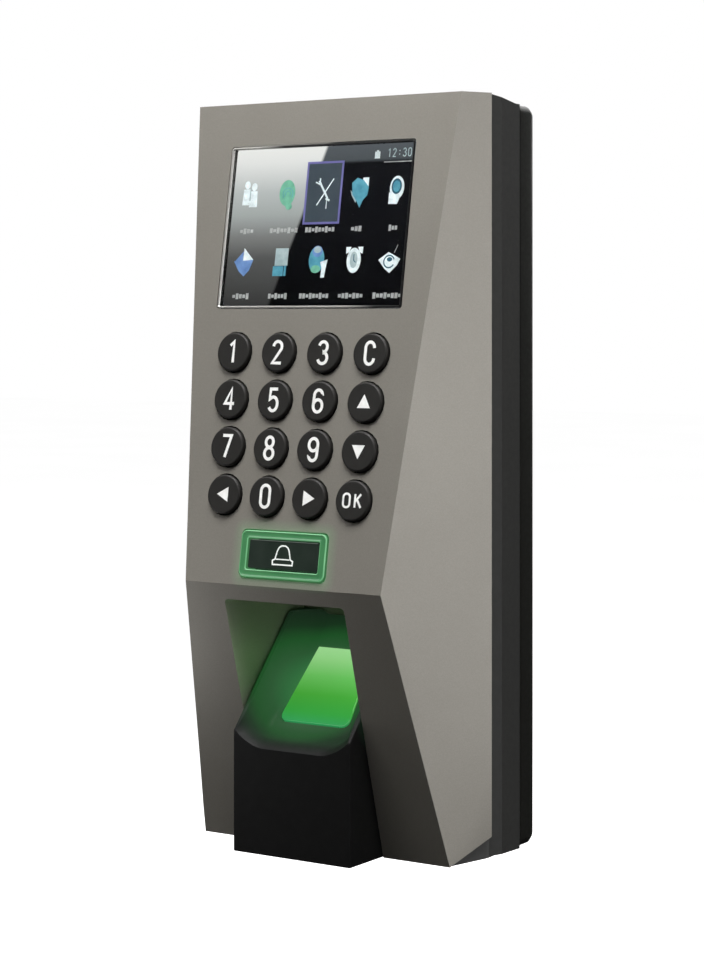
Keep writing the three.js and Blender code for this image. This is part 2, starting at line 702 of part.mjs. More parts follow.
function sensorHood() {
  const crest = HOOD_CREST;
  const back = RECESS_BACK + GAP;
  const body = sidePrism([
    [HOOD_FRONT, 0], [HOOD_FRONT, HOOD_LIP], [crest.ahead, crest.height],
    [back, crest.height], [back, 0],
  ], -HOOD_HALF, HOOD_HALF);
  const drop = (TROUGH_DEPTH + HOOD_WALL) / Math.cos(CRADLE_RISE);
  const inside = HOOD_FRONT - HOOD_WALL;
  const slope = Math.tan(CRADLE_RISE);
  const roof = (ahead) => HOOD_LIP + (HOOD_FRONT - ahead) * slope - drop;
  const flat = crest.height - HOOD_WALL;
  const bend = HOOD_FRONT - (flat + drop - HOOD_LIP) / slope;
  const cavityOutline = [
    [inside, HOOD_WALL], [inside, roof(inside)], [Math.max(bend, back - 0.9), flat],
    [back - 1, flat], [back - 1, HOOD_WALL],
  ];
  const sideWall = HOOD_HALF - HOOD_WALL;
  const cavity = sidePrism(cavityOutline, -sideWall, sideWall);
  const posts = joined(...HOOD_SCREWS.map(([x, height]) => depthBar(HOOD_POST_RADIUS, back, 20, x, height)));
  const hood = joined(body.subtract(cavity), posts.intersect(body));
  return mesh('sensor_hood', cutBy(hood, [
    onCradle(trough()),
    onCradle(prism(windowOutline(0), -12, 2)),
    ...HOOD_SCREWS.map(([x, height]) => depthBar(HOOD_SCREW_HOLE, back - 1, -1, x, height, 12)),
  ]), BLACK_PLASTIC);
}

function sensorParts() {
  const lensY = 12;
  const window = prism(windowOutline(GAP), -8.6, -TROUGH_DEPTH + 0.1);
  const ledBoard = block([-11, 6, -10.2], [11, 27, -9.2]).subtract(bar(4, -12, -8, 0, lensY));
  const lens = turned([
    [0, -14], [3.6, -14], [3.6, -11.5], [2.8, -11], [2.8, -9.4], [0, -9.4],
  ], 16);
  const lensBody = moved(lens, new THREE.Matrix4().makeTranslation(0, lensY, 0));
  const camera = block([-8, 4.5, -15.5], [8, 18, -14.3]);
  return [
    mesh('sensor_window', window, SENSOR_GLASS),
    mesh('sensor_led_board', ledBoard, BOARD_GREEN),
    mesh('sensor_lens', lensBody, GLOSS_BLACK),
    mesh('sensor_camera_board', camera, BOARD_GREEN),
  ];
}

// ---------------------------------------------------------------- electronics

function mainBoard() {
  const { half, low, high, back } = MAIN_BOARD;
  const board = casingBlock([-half, half], [back, back + BOARD_THICK], [low, high]);
  const holes = BOARD_SCREWS.map(([x, height]) => depthBar(SMALL_SCREW_HOLE, 0, 6, x, height, 12));
  return mesh('main_board', cutBy(board, holes), BOARD_GREEN);
}

// A part that stands on the main board's back or front face.
function onBoardBack(name, [x0, x1], [low, high], tall, look) {
  const foot = MAIN_BOARD.back - GAP;
  return mesh(name, casingBlock([x0, x1], [foot - tall, foot], [low, high]), look);
}

function onBoardFront(name, [x0, x1], [low, high], tall, look) {
  const foot = MAIN_BOARD.back + BOARD_THICK + GAP;
  return mesh(name, casingBlock([x0, x1], [foot, foot + tall], [low, high]), look);
}

// A connector block with a row of sockets in its lower face.
function terminalBlock(name, x0, poles) {
  const pitch = 3.5;
  const foot = MAIN_BOARD.back - GAP;
  const [low, high, tall] = [88, 97, 8.5];
  const body = casingBlock([x0, x0 + poles * pitch], [foot - tall, foot], [low, high]);
  const sockets = [];
  for (let pole = 0; pole < poles; pole += 1) {
    const left = x0 + (pole + 0.5) * pitch;
    sockets.push(casingBlock([left - 1.2, left + 1.2], [foot - 6, foot - 2], [low - 1, low + 6]));
    sockets.push(depthBar(1.3, foot - tall - 1, foot - tall + 1.5, left, high - 2.6, 10));
  }
  return mesh(name, cutBy(body, sockets), CONNECTOR_GREEN);
}

function networkJack() {
  const foot = MAIN_BOARD.back - GAP;
  const [x0, x1, low, high, tall] = [1, 17, 88, 104, 11.5];
  const body = casingBlock([x0, x1], [foot - tall, foot], [low, high]);
  const mouth = casingBlock([x0 + 2, x1 - 2], [foot - tall + 2, foot - 2.5], [low - 1, low + 12]);
  return mesh('network_jack', body.subtract(mouth), BRIGHT_METAL);
}

function speaker() {
  const [x0, x1, low, high] = [20, 33, 22, 46];
  const cone = depthBar(5.4, 3.4, 5.2, (x0 + x1) / 2, (low + high) / 2, 20);
  return mesh('speaker', joined(casingBlock([x0, x1], [0.4, 3.6], [low, high]), cone), BLACK_PLASTIC);
}

function backupCell() {
  const foot = MAIN_BOARD.back - GAP;
  const [x, height, radius] = [-20, 136, 6.25];
  const holder = casingBlock([x - 8, x + 8], [foot - 3.4, foot], [height - 8, height + 8])
    .subtract(depthBar(radius + GAP, foot - 5, foot - 0.8, x, height, 24));
  return [
    mesh('cell_holder', holder, BLACK_PLASTIC),
    mesh('backup_cell', depthBar(radius, foot - 3.1, foot - 1.1, x, height, 24), BRIGHT_METAL),
  ];
}

function tamperParts() {
  const { x, height, radius } = TAMPER;
  const tip = PLATE_FLOOR + GAP;
  const innerEnd = -4.8;
  const plunger = joined(
    depthBar(radius, tip, innerEnd, x, height),
    depthBar(radius + 0.8, -10.9, -9.9, x, height),
  );
  return [
    onBoardBack('tamper_switch', [x - 3, x + 3], [height - 3, height + 3], 5.1, BLACK_PLASTIC),
    mesh('tamper_plunger', plunger, SILICONE),
  ];
}

function ribbons() {
  const display = ribbon([[8, 128], [7.2, 120], [5.4, 114], [4.7, 108]], 0.4, -9, 9);
  const keypad = ribbon([[11.4, 76], [8.6, 73], [6.2, 73], [4.5, 75]], 0.4, -7, 7);
  const sensor = ribbon([
    [1.4, 25.2], [-2.2, 26.6], [-5.4, 30.8], [-7, 34.2], [-9.2, 34.6], [-10.35, 37],
    [-10.35, 59.6], [-8.6, 61.6], [-3, 61.8], [0, 64], [1.6, 69],
  ], 0.4, -4, 4);
  return [
    mesh('display_ribbon', display, RIBBON),
    mesh('keypad_ribbon', keypad, RIBBON),
    mesh('sensor_cable', sensor, RIBBON),
  ];
}

// ---------------------------------------------------------------- assembly

const terminal = new THREE.Group();
terminal.name = 'fingerprint_terminal';

panel.add(...displayParts(), ...keys(), ...bellParts(), ...keypadParts());
cradle.add(...sensorParts());
terminal.add(
  wallPlate(), rearHousing(), frontCover(), sensorHood(), panel, cradle,
  mainBoard(), speaker(), ...backupCell(), networkJack(),
  terminalBlock('power_terminal', -18, 4),
  terminalBlock('lock_terminal', -33, 3),
  onBoardBack('lock_relay', [-31, -16], [104, 123], 10.5, GLOSS_BLACK),
  onBoardFront('processor', [-7, 7], [88, 102], 1.3, GLOSS_BLACK),
  onBoardFront('memory_chip', [13, 23], [90, 100], 1, GLOSS_BLACK),
  ...tamperParts(), ...ribbons(), ...casingScrews(),
);

export default terminal;
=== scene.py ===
"""Fingerprint scanner terminal: materials and fine pieces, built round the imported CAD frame.

The frame is in metres, +Z up, front towards -Y, origin on the wall plate's back face. Sizes below
are in millimetres and become metres through MM. Two working measures are used for places:
"ahead" is the distance in front of the parting plane, and "height" is the distance above the
casing's lowest edge.
"""
import json
import math

import bmesh
import bpy
from mathutils import Matrix, Vector


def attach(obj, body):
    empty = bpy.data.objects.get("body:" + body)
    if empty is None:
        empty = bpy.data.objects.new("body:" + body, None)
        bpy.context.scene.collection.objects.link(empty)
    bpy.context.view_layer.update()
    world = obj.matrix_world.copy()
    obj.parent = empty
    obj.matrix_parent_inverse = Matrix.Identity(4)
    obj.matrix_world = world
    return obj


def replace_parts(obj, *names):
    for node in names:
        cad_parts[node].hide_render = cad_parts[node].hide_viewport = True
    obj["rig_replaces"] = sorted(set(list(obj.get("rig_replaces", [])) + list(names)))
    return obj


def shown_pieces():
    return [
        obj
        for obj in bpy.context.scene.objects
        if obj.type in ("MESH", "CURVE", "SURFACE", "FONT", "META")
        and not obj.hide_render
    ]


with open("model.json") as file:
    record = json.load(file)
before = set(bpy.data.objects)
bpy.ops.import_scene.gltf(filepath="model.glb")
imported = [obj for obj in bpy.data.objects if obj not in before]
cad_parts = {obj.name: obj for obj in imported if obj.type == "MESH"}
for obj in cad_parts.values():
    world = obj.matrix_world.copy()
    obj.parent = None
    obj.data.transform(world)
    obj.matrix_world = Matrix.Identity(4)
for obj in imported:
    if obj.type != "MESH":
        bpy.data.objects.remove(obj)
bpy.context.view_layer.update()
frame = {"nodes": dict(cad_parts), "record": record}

# ------------------------------------------------------------------ measures, in millimetres

MM = 0.001
PARTING_Y = -21.2
ORIGIN_HEIGHT = 86
CHIN = (25, 61.5)
TOP = (6.8, 172)

WINDOW = {"width": 51, "height": 38.6, "y": 82.5, "corner": 0.8}
DISPLAY_RIM = 0.45
SCREEN_Z = -2.1
GLASS_FRONT = -0.6
GLASS_BACK = -1.8
CELL_BACK = -3.4
BELL = {"width": 19, "height": 6.5, "y": 7.2, "corner": 0.4}
RING_SPILL = {"inset": 0.4, "reach": 3.2}
BELL_FLANGE = {"grow": 0.8, "back": -4.4, "top": -3.75}
RING = {"width": 23.2, "height": 10.5, "y": 7.2, "corner": 1.4, "proud": 0.5}
RING_FLANGE = {"share": -0.46, "back": -3.4, "top": -2.5}
KEY_RADIUS = 4.5
KEY_PROUD = 0.95
KEY_FLANGE = 5.2
KEY_BOTTOM = -3.2
KEY_DISH = 0.05
KEY_PITCH = (11.75, 10.95)
KEY_SPREAD = 0.26
KEY_FIRST_Y = 20.2
KEY_ROWS = [
    ["left", "0", "right", "ok"],
    ["7", "8", "9", "down"],
    ["4", "5", "6", "up"],
    ["1", "2", "3", "clear"],
]

HOOD_FRONT = 21
HOOD_LIP = 27.7
HOOD_CREST = (-1.2, 52.55)
HOOD_BACK = -7.7
HOOD_HALF = 16
HOOD_WALL = 1.8
HOOD_SCREW = (11, 12)
HOOD_POST_RADIUS = 2.6
HOOD_BORE_RADIUS = 1.4
HOOD_POST_END = 20
HOOD_BORE_END = -1
TROUGH_GLOW = {"x": -3, "y": 17, "reach": 24, "fades_from": 17.5}
TROUGH_DEPTH = 5.5
TROUGH_LIP_DEPTH = 2.35
TROUGH_DEEPENS = {"from": -2.6, "over": 8.6}
TROUGH_FLOOR = {"lip_half": 7.5, "widens": 2.7, "narrows": 1.8, "from": 6, "over": 23}
TROUGH_RIM = {"lip_half": 15.6, "narrows": 0.8}
SENSOR_WINDOW = {"low": 6.8, "high": 28, "low_half": 9.8, "high_half": 7.9, "corner": 2.4,
                 "back": -8.6, "proud": 0.1, "shade_from": 6.5}
GAP = 0.3


def place(x, ahead, height):
    """A point of the casing, in metres."""
    return Vector((x, PARTING_Y - ahead, height - ORIGIN_HEIGHT)) * MM


def local_frame(low, high):
    """Matrix from a sloping face's own millimetres (x, up the face, out of it) to metres."""
    start, end = place(0, *low), place(0, *high)
    up = (end - start).normalized()
    out = Vector((1, 0, 0)).cross(up)
    matrix = Matrix((Vector((1, 0, 0)), up, out)).transposed().to_4x4() @ Matrix.Scale(MM, 4)
    matrix.translation = start
    return matrix


PANEL = local_frame(CHIN, TOP)
CRADLE = local_frame((HOOD_FRONT, HOOD_LIP), HOOD_CREST)
CASING = Matrix((
    (MM, 0, 0, 0), (0, 0, -MM, PARTING_Y * MM), (0, MM, 0, -ORIGIN_HEIGHT * MM), (0, 0, 0, 1),
))


# ------------------------------------------------------------------ material building blocks


class Surface:
    """A material with a Principled shader and short ways to add the nodes that vary it."""

    def __init__(self, name, color, roughness, metallic=0.0):
        self.material = bpy.data.materials.new(name)
        self.material.use_nodes = True
        self.tree = self.material.node_tree
        self.shader = self.tree.nodes["Principled BSDF"]
        self.set("Base Color", (*color, 1))
        self.set("Roughness", roughness)
        self.set("Metallic", metallic)
        self.place = self.node("ShaderNodeTexCoord").outputs["Object"]

    def set(self, socket, value):
        self.shader.inputs[socket].default_value = value

    def node(self, kind, **settings):
        made = self.tree.nodes.new(kind)
        for name, value in settings.items():
            setattr(made, name, value)
        return made

    def link(self, source, target):
        self.tree.links.new(source, target)

    def noise(self, scale, detail=3.0, stretch=None):
        texture = self.node("ShaderNodeTexNoise")
        texture.inputs["Scale"].default_value = scale
        texture.inputs["Detail"].default_value = detail
        source = self.place
        if stretch:
            mapping = self.node("ShaderNodeMapping")
            mapping.inputs["Scale"].default_value = stretch
            self.link(source, mapping.inputs["Vector"])
            source = mapping.outputs["Vector"]
        self.link(source, texture.inputs["Vector"])
        return texture.outputs["Fac"]

    def ramp(self, source, stops):
        made = self.node("ShaderNodeValToRGB")
        elements = made.color_ramp.elements
        while len(elements) < len(stops):
            elements.new(0.5)
        for element, (position, color) in zip(elements, stops):
            element.position = position
            element.color = (*color, 1) if len(color) == 3 else (color[0],) * 3 + (1,)
        self.link(source, made.inputs["Fac"])
        return made.outputs["Color"]

    def measure(self, operation, vector):
        """The place's dot product with a vector, or its distance from one."""
        made = self.node("ShaderNodeVectorMath", operation=operation)
        self.link(self.place, made.inputs[0])
        made.inputs[1].default_value = vector
        return made.outputs["Value"]

    def calc(self, operation, first, second=None, clamp=False):
        """A Math node. The second input is a number or another node's output."""
        made = self.node("ShaderNodeMath", operation=operation, use_clamp=clamp)
        self.link(first, made.inputs[0])
        if isinstance(second, (int, float)):
            made.inputs[1].default_value = second
        elif second is not None:
            self.link(second, made.inputs[1])
        return made.outputs[0]

    def multiplied(self, first, second):
        mix = self.node("ShaderNodeMix", data_type="RGBA", blend_type="MULTIPLY")
        mix.inputs["Factor"].default_value = 1
        self.link(first, mix.inputs["A"])
        self.link(second, mix.inputs["B"])
        return mix.outputs["Result"]

    def along(self, start, end):
        """0 to 1 between two points given in metres, clamped outside them."""
        start, end = Vector(start), Vector(end)
        way = (end - start) / (end - start).length_squared
        return self.calc("SUBTRACT", self.measure("DOT_PRODUCT", way), start.dot(way), True)

    def grain(self, strength, scale, distance=0.00005):
        """Fine bump over the whole surface."""
        bump = self.node("ShaderNodeBump")
        bump.inputs["Strength"].default_value = strength
        bump.inputs["Distance"].default_value = distance
        self.link(self.noise(scale, 2.0), bump.inputs["Height"])
        self.link(bump.outputs["Normal"], self.shader.inputs["Normal"])
        return self

    def mottle(self, low, high, scale, detail=3.0, stretch=None):
        """Colour drifting between two shades."""
        color = self.ramp(self.noise(scale, detail, stretch), [(0.35, low), (0.65, high)])
        self.link(color, self.shader.inputs["Base Color"])
        return self

    def uneven(self, low, high, scale, stretch=None):
        """Roughness drifting between two values."""
        value = self.ramp(self.noise(scale, 2.0, stretch), [(0.35, (low,)), (0.65, (high,))])
        self.link(value, self.shader.inputs["Roughness"])
        return self

    def glow(self, color, strength):
        self.link(color, self.shader.inputs["Emission Color"])
        self.set("Emission Strength", strength)
        return self


def shade(color, factor):
    return tuple(channel * factor for channel in color)


def moulded(name, color, roughness, grain=0.12, scale=3500, gloss=0.5):
    """Moulded plastic with a spark-eroded texture and slight shade changes."""
    surface = Surface(name, color, roughness)
    surface.set("Specular IOR Level", gloss)
    surface.mottle(shade(color, 0.95), shade(color, 1.05), 500)
    surface.uneven(roughness - 0.03, roughness + 0.03, 900)
    return surface.grain(grain, scale).material


def plated(name, color, roughness, stretch=(1, 1, 1)):
    """Bare or plated metal with fine drawn marks."""
    surface = Surface(name, color, roughness, 1.0)
    surface.mottle(shade(color, 0.85), shade(color, 1.08), 700, 4.0, stretch)
    surface.uneven(roughness * 0.7, roughness * 1.4, 900, stretch)
    return surface.grain(0.05, 2500).material


def lit(name, low, high, strength, scale):
    """Something that gives off light, with a slow change of shade."""
    surface = Surface(name, shade(high, 0.5), 0.35)
    color = surface.ramp(surface.noise(scale), [(0.3, low), (0.7, high)])
    return surface.glow(color, strength).material


COVER_LOW = (0.279, 0.262, 0.230)
COVER_HIGH = (0.296, 0.279, 0.246)


def cover_paint():
    """Satin metallic paint with fine flakes; it takes a little green light round the bell ring."""
    surface = Surface("cover_paint", COVER_HIGH, 0.42, 0.35)
    surface.set("Coat Weight", 0.12)
    surface.set("Coat Roughness", 0.25)
    drift = surface.ramp(surface.noise(35, 2.0), [(0.3, COVER_LOW), (0.7, COVER_HIGH)])
    flakes = surface.node("ShaderNodeTexVoronoi")
    flakes.inputs["Scale"].default_value = 6500
    surface.link(surface.place, flakes.inputs["Vector"])
    sparkle = surface.ramp(flakes.outputs["Color"], [(0.2, (0.95,)), (0.9, (1.05,))])
    surface.link(surface.multiplied(drift, sparkle), surface.shader.inputs["Base Color"])
    surface.uneven(0.42, 0.44, 300)
    near = ring_distance(surface)
    spill = surface.ramp(near, [(0.0, (0.035, 0.15, 0.05)), (0.3, (0.012, 0.06, 0.018)), (1.0, (0, 0, 0))])
    surface.glow(spill, 1.0)
    return surface.grain(0.03, 4200, 0.00003).material


def ring_distance(surface):
    """0 just inside the bell ring's edge to 1 at the far end of its light on the upper panel."""
    centre = PANEL @ Vector((0, RING["y"], 0))
    up = (PANEL.to_3x3() @ Vector((0, 1, 0))).normalized()
    squares = []
    for axis, half in ((Vector((1, 0, 0)), RING["width"] / 2), (up, RING["height"] / 2)):
        offset = surface.calc("SUBTRACT", surface.measure("DOT_PRODUCT", axis), centre.dot(axis))
        edge = (half - RING_SPILL["inset"]) * MM
        past = surface.calc("SUBTRACT", surface.calc("ABSOLUTE", offset), edge)
        outside = surface.calc("MAXIMUM", past, 0)
        squares.append(surface.calc("MULTIPLY", outside, outside))
    away = surface.calc("SQRT", surface.calc("ADD", *squares))
    return surface.calc("DIVIDE", away, RING_SPILL["reach"] * MM, True)


def board_mask(name, color):
    """Green solder mask with copper tracks showing faintly through."""
    surface = Surface(name, color, 0.35)
    tracks = surface.node("ShaderNodeTexBrick")
    tracks.inputs["Scale"].default_value = 180
    tracks.inputs["Color1"].default_value = (*color, 1)
    tracks.inputs["Color2"].default_value = (*shade(color, 1.5), 1)
    tracks.inputs["Mortar"].default_value = (*shade(color, 2.6), 1)
    tracks.inputs["Mortar Size"].default_value = 0.03
    surface.link(surface.place, tracks.inputs["Vector"])
    surface.link(tracks.outputs["Color"], surface.shader.inputs["Base Color"])
    surface.set("Coat Weight", 0.3)
    return surface.grain(0.08, 1500).material


def ribbon_film():
    """Polyimide film with fine copper lines along it."""
    surface = Surface("ribbon_film", (0.5, 0.2, 0.03), 0.35)
    lines = surface.node("ShaderNodeTexWave", wave_type="BANDS", bands_direction="X")
    lines.inputs["Scale"].default_value = 500
    surface.link(surface.place, lines.inputs["Vector"])
    color = surface.ramp(lines.outputs["Fac"], [(0.3, (0.62, 0.27, 0.05)), (0.7, (0.33, 0.11, 0.02))])
    surface.link(color, surface.shader.inputs["Base Color"])
    return surface.grain(0.05, 1800).material


def hood_plastic():
    """Near-black satin moulding that takes green light in the trough round the sensor window."""
    surface = Surface("hood_plastic", (0.006, 0.006, 0.006), 0.5)
    surface.set("Specular IOR Level", 0.15)
    surface.mottle((0.0055, 0.0055, 0.0055), (0.0068, 0.0068, 0.0068), 400)
    surface.uneven(0.5, 0.55, 900)
    centre = CRADLE @ Vector((TROUGH_GLOW["x"], TROUGH_GLOW["y"], -TROUGH_DEPTH))
    away = surface.measure("DISTANCE", centre)
    near = surface.ramp(surface.calc("DIVIDE", away, TROUGH_GLOW["reach"] * MM, True), [
        (0.0, (0.05, 0.24, 0.06)), (0.32, (0.030, 0.14, 0.045)), (0.46, (0.022, 0.09, 0.030)),
        (0.60, (0.012, 0.075, 0.018)), (0.73, (0.008, 0.030, 0.011)), (0.88, (0.007, 0.018, 0.009)),
        (1.0, (0, 0, 0)),
    ])
    fade = surface.along(place(0, TROUGH_GLOW["fades_from"], 0), place(0, HOOD_FRONT, 0))
    front = surface.ramp(fade, [(0.0, (1,)), (1.0, (0,))])
    surface.glow(surface.multiplied(near, front), 1.0)
    return surface.grain(0.05, 3600, 0.00004).material


def sensor_light():
    """The sensor window, lit from below: pale at the top, deep green at its lower end."""
    surface = Surface("sensor_light", (0.02, 0.14, 0.03), 0.12)
    surface.set("Coat Weight", 0.5)
    low = CRADLE @ Vector((0, SENSOR_WINDOW["shade_from"], 0))
    high = CRADLE @ Vector((0, SENSOR_WINDOW["high"], 0))
    color = surface.ramp(surface.along(low, high), [
        (0.0, (0.020, 0.24, 0.085)), (0.16, (0.030, 0.30, 0.040)), (0.38, (0.055, 0.34, 0.035)),
        (0.62, (0.13, 0.47, 0.10)), (0.85, (0.27, 0.60, 0.22)), (1.0, (0.33, 0.66, 0.28)),
    ])
    return surface.glow(color, 1.0).material


def light_guide():
    """Tinted light guide of the bell ring, lit a little unevenly from inside."""
    surface = Surface("light_guide", (0.02, 0.10, 0.04), 0.3)
    surface.set("Coat Weight", 0.4)
    color = surface.ramp(surface.noise(120), [(0.3, (0.038, 0.13, 0.052)), (0.7, (0.058, 0.18, 0.070))])
    return surface.glow(color, 0.85).material


def window_glass():
    """Thin clear glass over the display."""
    surface = Surface("window_glass", (0.9, 0.93, 0.95), 0.03)
    surface.set("Transmission Weight", 1.0)
    surface.set("IOR", 1.12)
    surface.set("Specular IOR Level", 0.4)
    return surface.uneven(0.02, 0.05, 60).material


def display_rim():
    """Thin metal rim with a painted highlight at its lower left and painted shade towards its upper right."""
    surface = Surface("display_rim", (0.2, 0.2, 0.2), 0.35, 0.6)
    half = Vector((WINDOW["width"] / 2, WINDOW["height"] / 2, 0))
    centre = Vector((0, WINDOW["y"], 0))
    low, high = PANEL @ (centre - half * 0.25), PANEL @ (centre + half * 0.25)
    # Painted highlight at the lower left fading to painted shade at the upper right.
    color = surface.ramp(surface.along(low, high), [(0.3, (0.62, 0.61, 0.58)), (0.7, (0.02, 0.02, 0.02))])
    surface.link(color, surface.shader.inputs["Base Color"])
    surface.uneven(0.28, 0.42, 700)
    return surface.grain(0.04, 2500).material


def screen_with_painted_sheen():
    """The display's dark background with a painted pale slanting sheen at the left, standing for a reflection
    in the glass.
    """
    surface = Surface("screen_with_painted_sheen", (0.002, 0.002, 0.003), 0.35)
    surface.set("Specular IOR Level", 0.1)
    half_w, half_h = WINDOW["width"] / 2, WINDOW["height"] / 2
    top_left = PANEL @ Vector((-half_w, WINDOW["y"] + half_h, SCREEN_Z))
    low_left = PANEL @ Vector((-half_w, WINDOW["y"] - half_h, SCREEN_Z))
    # Painted reflection: pale at the top of the left edge, fading down the screen.
    painted_glass_sheen = surface.ramp(surface.along(top_left, low_left), [
        (0.0, (0.93, 0.91, 0.86)), (0.10, (0.84, 0.83, 0.79)), (0.28, (0.52, 0.54, 0.52)),
        (0.42, (0.40, 0.42, 0.40)), (0.55, (0.22, 0.22, 0.21)), (0.68, (0.10, 0.10, 0.095)),
        (1.0, (0.035, 0.034, 0.032)),
    ])
    # Soft slanting edge where the painted reflection ends.
    edge_top = PANEL @ Vector((0.5, WINDOW["y"] + half_h, SCREEN_Z))
    edge_low = PANEL @ Vector((-12.5, WINDOW["y"] - half_h, SCREEN_Z))
    slant = (edge_low - edge_top).normalized()
    across = slant.cross(PANEL.to_3x3() @ Vector((0, 0, 1))).normalized()
    if across.x < 0:
        across.negate()
    soft = 0.0004
    side = surface.along(edge_top - across * soft, edge_top + across * soft)
    dark = surface.ramp(surface.along(top_left, low_left), [
        (0.0, (0.11, 0.12, 0.13)), (0.10, (0.08, 0.09, 0.095)), (0.12, (0.005, 0.005, 0.006)),
        (1.0, (0.001, 0.001, 0.001)),
    ])
    mix = surface.node("ShaderNodeMix", data_type="RGBA")
    surface.link(side, mix.inputs["Factor"])
    surface.link(painted_glass_sheen, mix.inputs["A"])
    surface.link(dark, mix.inputs["B"])
    return surface.glow(mix.outputs["Result"], 1.0).material


# ------------------------------------------------------------------ mesh building blocks


def finish_mesh(name, mesh, materials, body, replaces=None, sharp=30):
    """Links a mesh as a piece, with smooth shading between its sharp edges."""
    for material in materials if isinstance(materials, (list, tuple)) else [materials]:
        mesh.materials.append(material)
    mesh.polygons.foreach_set("use_smooth", [True] * len(mesh.polygons))
    mesh.set_sharp_from_angle(angle=math.radians(sharp))
    piece = bpy.data.objects.new(name, mesh)
    bpy.context.scene.collection.objects.link(piece)
    normals = piece.modifiers.new("weighted_normals", "WEIGHTED_NORMAL")
    normals.keep_sharp = True
    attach(piece, body)
    if replaces:
        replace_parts(piece, replaces)
    return piece


def mesh_from(bm, name, matrix=None):
    bmesh.ops.recalc_face_normals(bm, faces=bm.faces)
    if matrix:
        bm.transform(matrix)
        if matrix.determinant() < 0:
            bmesh.ops.reverse_faces(bm, faces=bm.faces)
    mesh = bpy.data.meshes.new(name)
    bm.to_mesh(mesh)
    bm.free()
    return mesh


def bevelled(bm, width, angle, segments):
    edges = [
        edge for edge in bm.edges
        if len(edge.link_faces) == 2 and edge.calc_face_angle() > math.radians(angle)
    ]
    bmesh.ops.bevel(
        bm, geom=edges, offset=width, segments=segments, profile=0.5,
        affect="EDGES", clamp_overlap=True,
    )


def refined(node, material, body, width, angle, segments):
    """A finer copy of a CAD node: merged flat faces and rounded edges."""
    bm = bmesh.new()
    bm.from_mesh(frame["nodes"][node].data)
    bmesh.ops.remove_doubles(bm, verts=bm.verts, dist=2e-6)
    bmesh.ops.dissolve_limit(
        bm, angle_limit=math.radians(0.6), verts=bm.verts, edges=bm.edges, use_dissolve_boundaries=False,
    )
    bevelled(bm, width * MM, angle, segments)
    mesh = mesh_from(bm, node)
    return finish_mesh(f"{node}_fine", mesh, material, body, node)


def rounded_rect(width, height, radius, cx=0.0, cy=0.0, steps=8):
    points = []
    for corner, (sx, sy) in enumerate([(1, -1), (1, 1), (-1, 1), (-1, -1)]):
        for step in range(steps + 1):
            turn = math.radians(-90 + 90 * corner + 90 * step / steps)
            x = cx + sx * (width / 2 - radius) + radius * math.cos(turn)
            y = cy + sy * (height / 2 - radius) + radius * math.sin(turn)
            points.append((x, y))
    return points


def slab_mesh(name, outline, low, high, matrix, edge):
    """A plate of any outline with rounded rims, in a local frame's millimetres."""
    bm = bmesh.new()
    base = bm.faces.new([bm.verts.new((x, y, low)) for x, y in outline])
    lifted = bmesh.ops.extrude_face_region(bm, geom=[base])
    top = [item for item in lifted["geom"] if isinstance(item, bmesh.types.BMVert)]
    bmesh.ops.translate(bm, verts=top, vec=(0, 0, high - low))
    bmesh.ops.recalc_face_normals(bm, faces=bm.faces)
    if edge:
        rims = [
            e for e in bm.edges
            if len(e.link_faces) == 2 and abs(e.verts[0].co.z - e.verts[1].co.z) < 1e-6
        ]
        bmesh.ops.bevel(
            bm, geom=rims, offset=edge, segments=3, profile=0.5, affect="EDGES",
            clamp_overlap=True,
        )
    return mesh_from(bm, name, matrix)


def turned_mesh(name, profile, steps, matrix):
    """A body turned about local z from (radius, z) pairs that start and end on the axis."""
    bm = bmesh.new()
    rings = []
    for radius, z in profile:
        if radius == 0:
            rings.append([bm.verts.new((0, 0, z))])
            continue
        turns = [2 * math.pi * step / steps for step in range(steps)]
        rings.append([bm.verts.new((radius * math.cos(t), radius * math.sin(t), z)) for t in turns])
    for below, above in zip(rings, rings[1:]):
        for step in range(steps):
            after = (step + 1) % steps
            corners = [below[step % len(below)], below[after % len(below)],
                       above[after % len(above)], above[step % len(above)]]
            unique = list(dict.fromkeys(corners))
            if len(unique) > 2:
                bm.faces.new(unique)
    return mesh_from(bm, name, matrix)


def swept_frame(name, outer, inner, profile, matrix, bright=()):
    """A closed frame between two matching outlines. Profile: (share from outer to inner, z)."""
    bm = bmesh.new()
    loops = []
    for share, z in profile:
        loops.append([
            bm.verts.new((ox + (ix - ox) * share, oy + (iy - oy) * share, z))
            for (ox, oy), (ix, iy) in zip(outer, inner)
        ])
    count = len(outer)
    for level, loop in enumerate(loops):
        after = loops[(level + 1) % len(loops)]
        for i in range(count):
            j = (i + 1) % count
            face = bm.faces.new([loop[i], loop[j], after[j], after[i]])
            face.material_index = 1 if level in bright else 0
    return mesh_from(bm, name, matrix)


def stacked_mesh(name, levels, matrix):
    """A closed body through level outlines with equal point counts, given as (outline, z)."""
    bm = bmesh.new()
    loops = [[bm.verts.new((x, y, z)) for x, y in outline] for outline, z in levels]
    for below, above in zip(loops, loops[1:]):
        for i in range(len(below)):
            j = (i + 1) % len(below)
            bm.faces.new([below[i], below[j], above[j], above[i]])
    bm.faces.new(loops[0][::-1])
    bm.faces.new(loops[-1])
    return mesh_from(bm, name, matrix)


def bowl(cx, cy, rx, ry, start, end, steps=16):
    """Points on an upright oval, angles in degrees."""
    turns = [math.radians(start + (end - start) * i / steps) for i in range(steps + 1)]
    return [(cx + rx * math.cos(t), cy + ry * math.sin(t)) for t in turns]


def box(x0, y0, x1, y1):
    return [(x0, y0), (x1, y0), (x1, y1), (x0, y1)]


def ellipse(cx, cy, rx, ry, steps=28):
    turns = [2 * math.pi * i / steps for i in range(steps)]
    return [(cx + rx * math.cos(t), cy + ry * math.sin(t)) for t in turns]


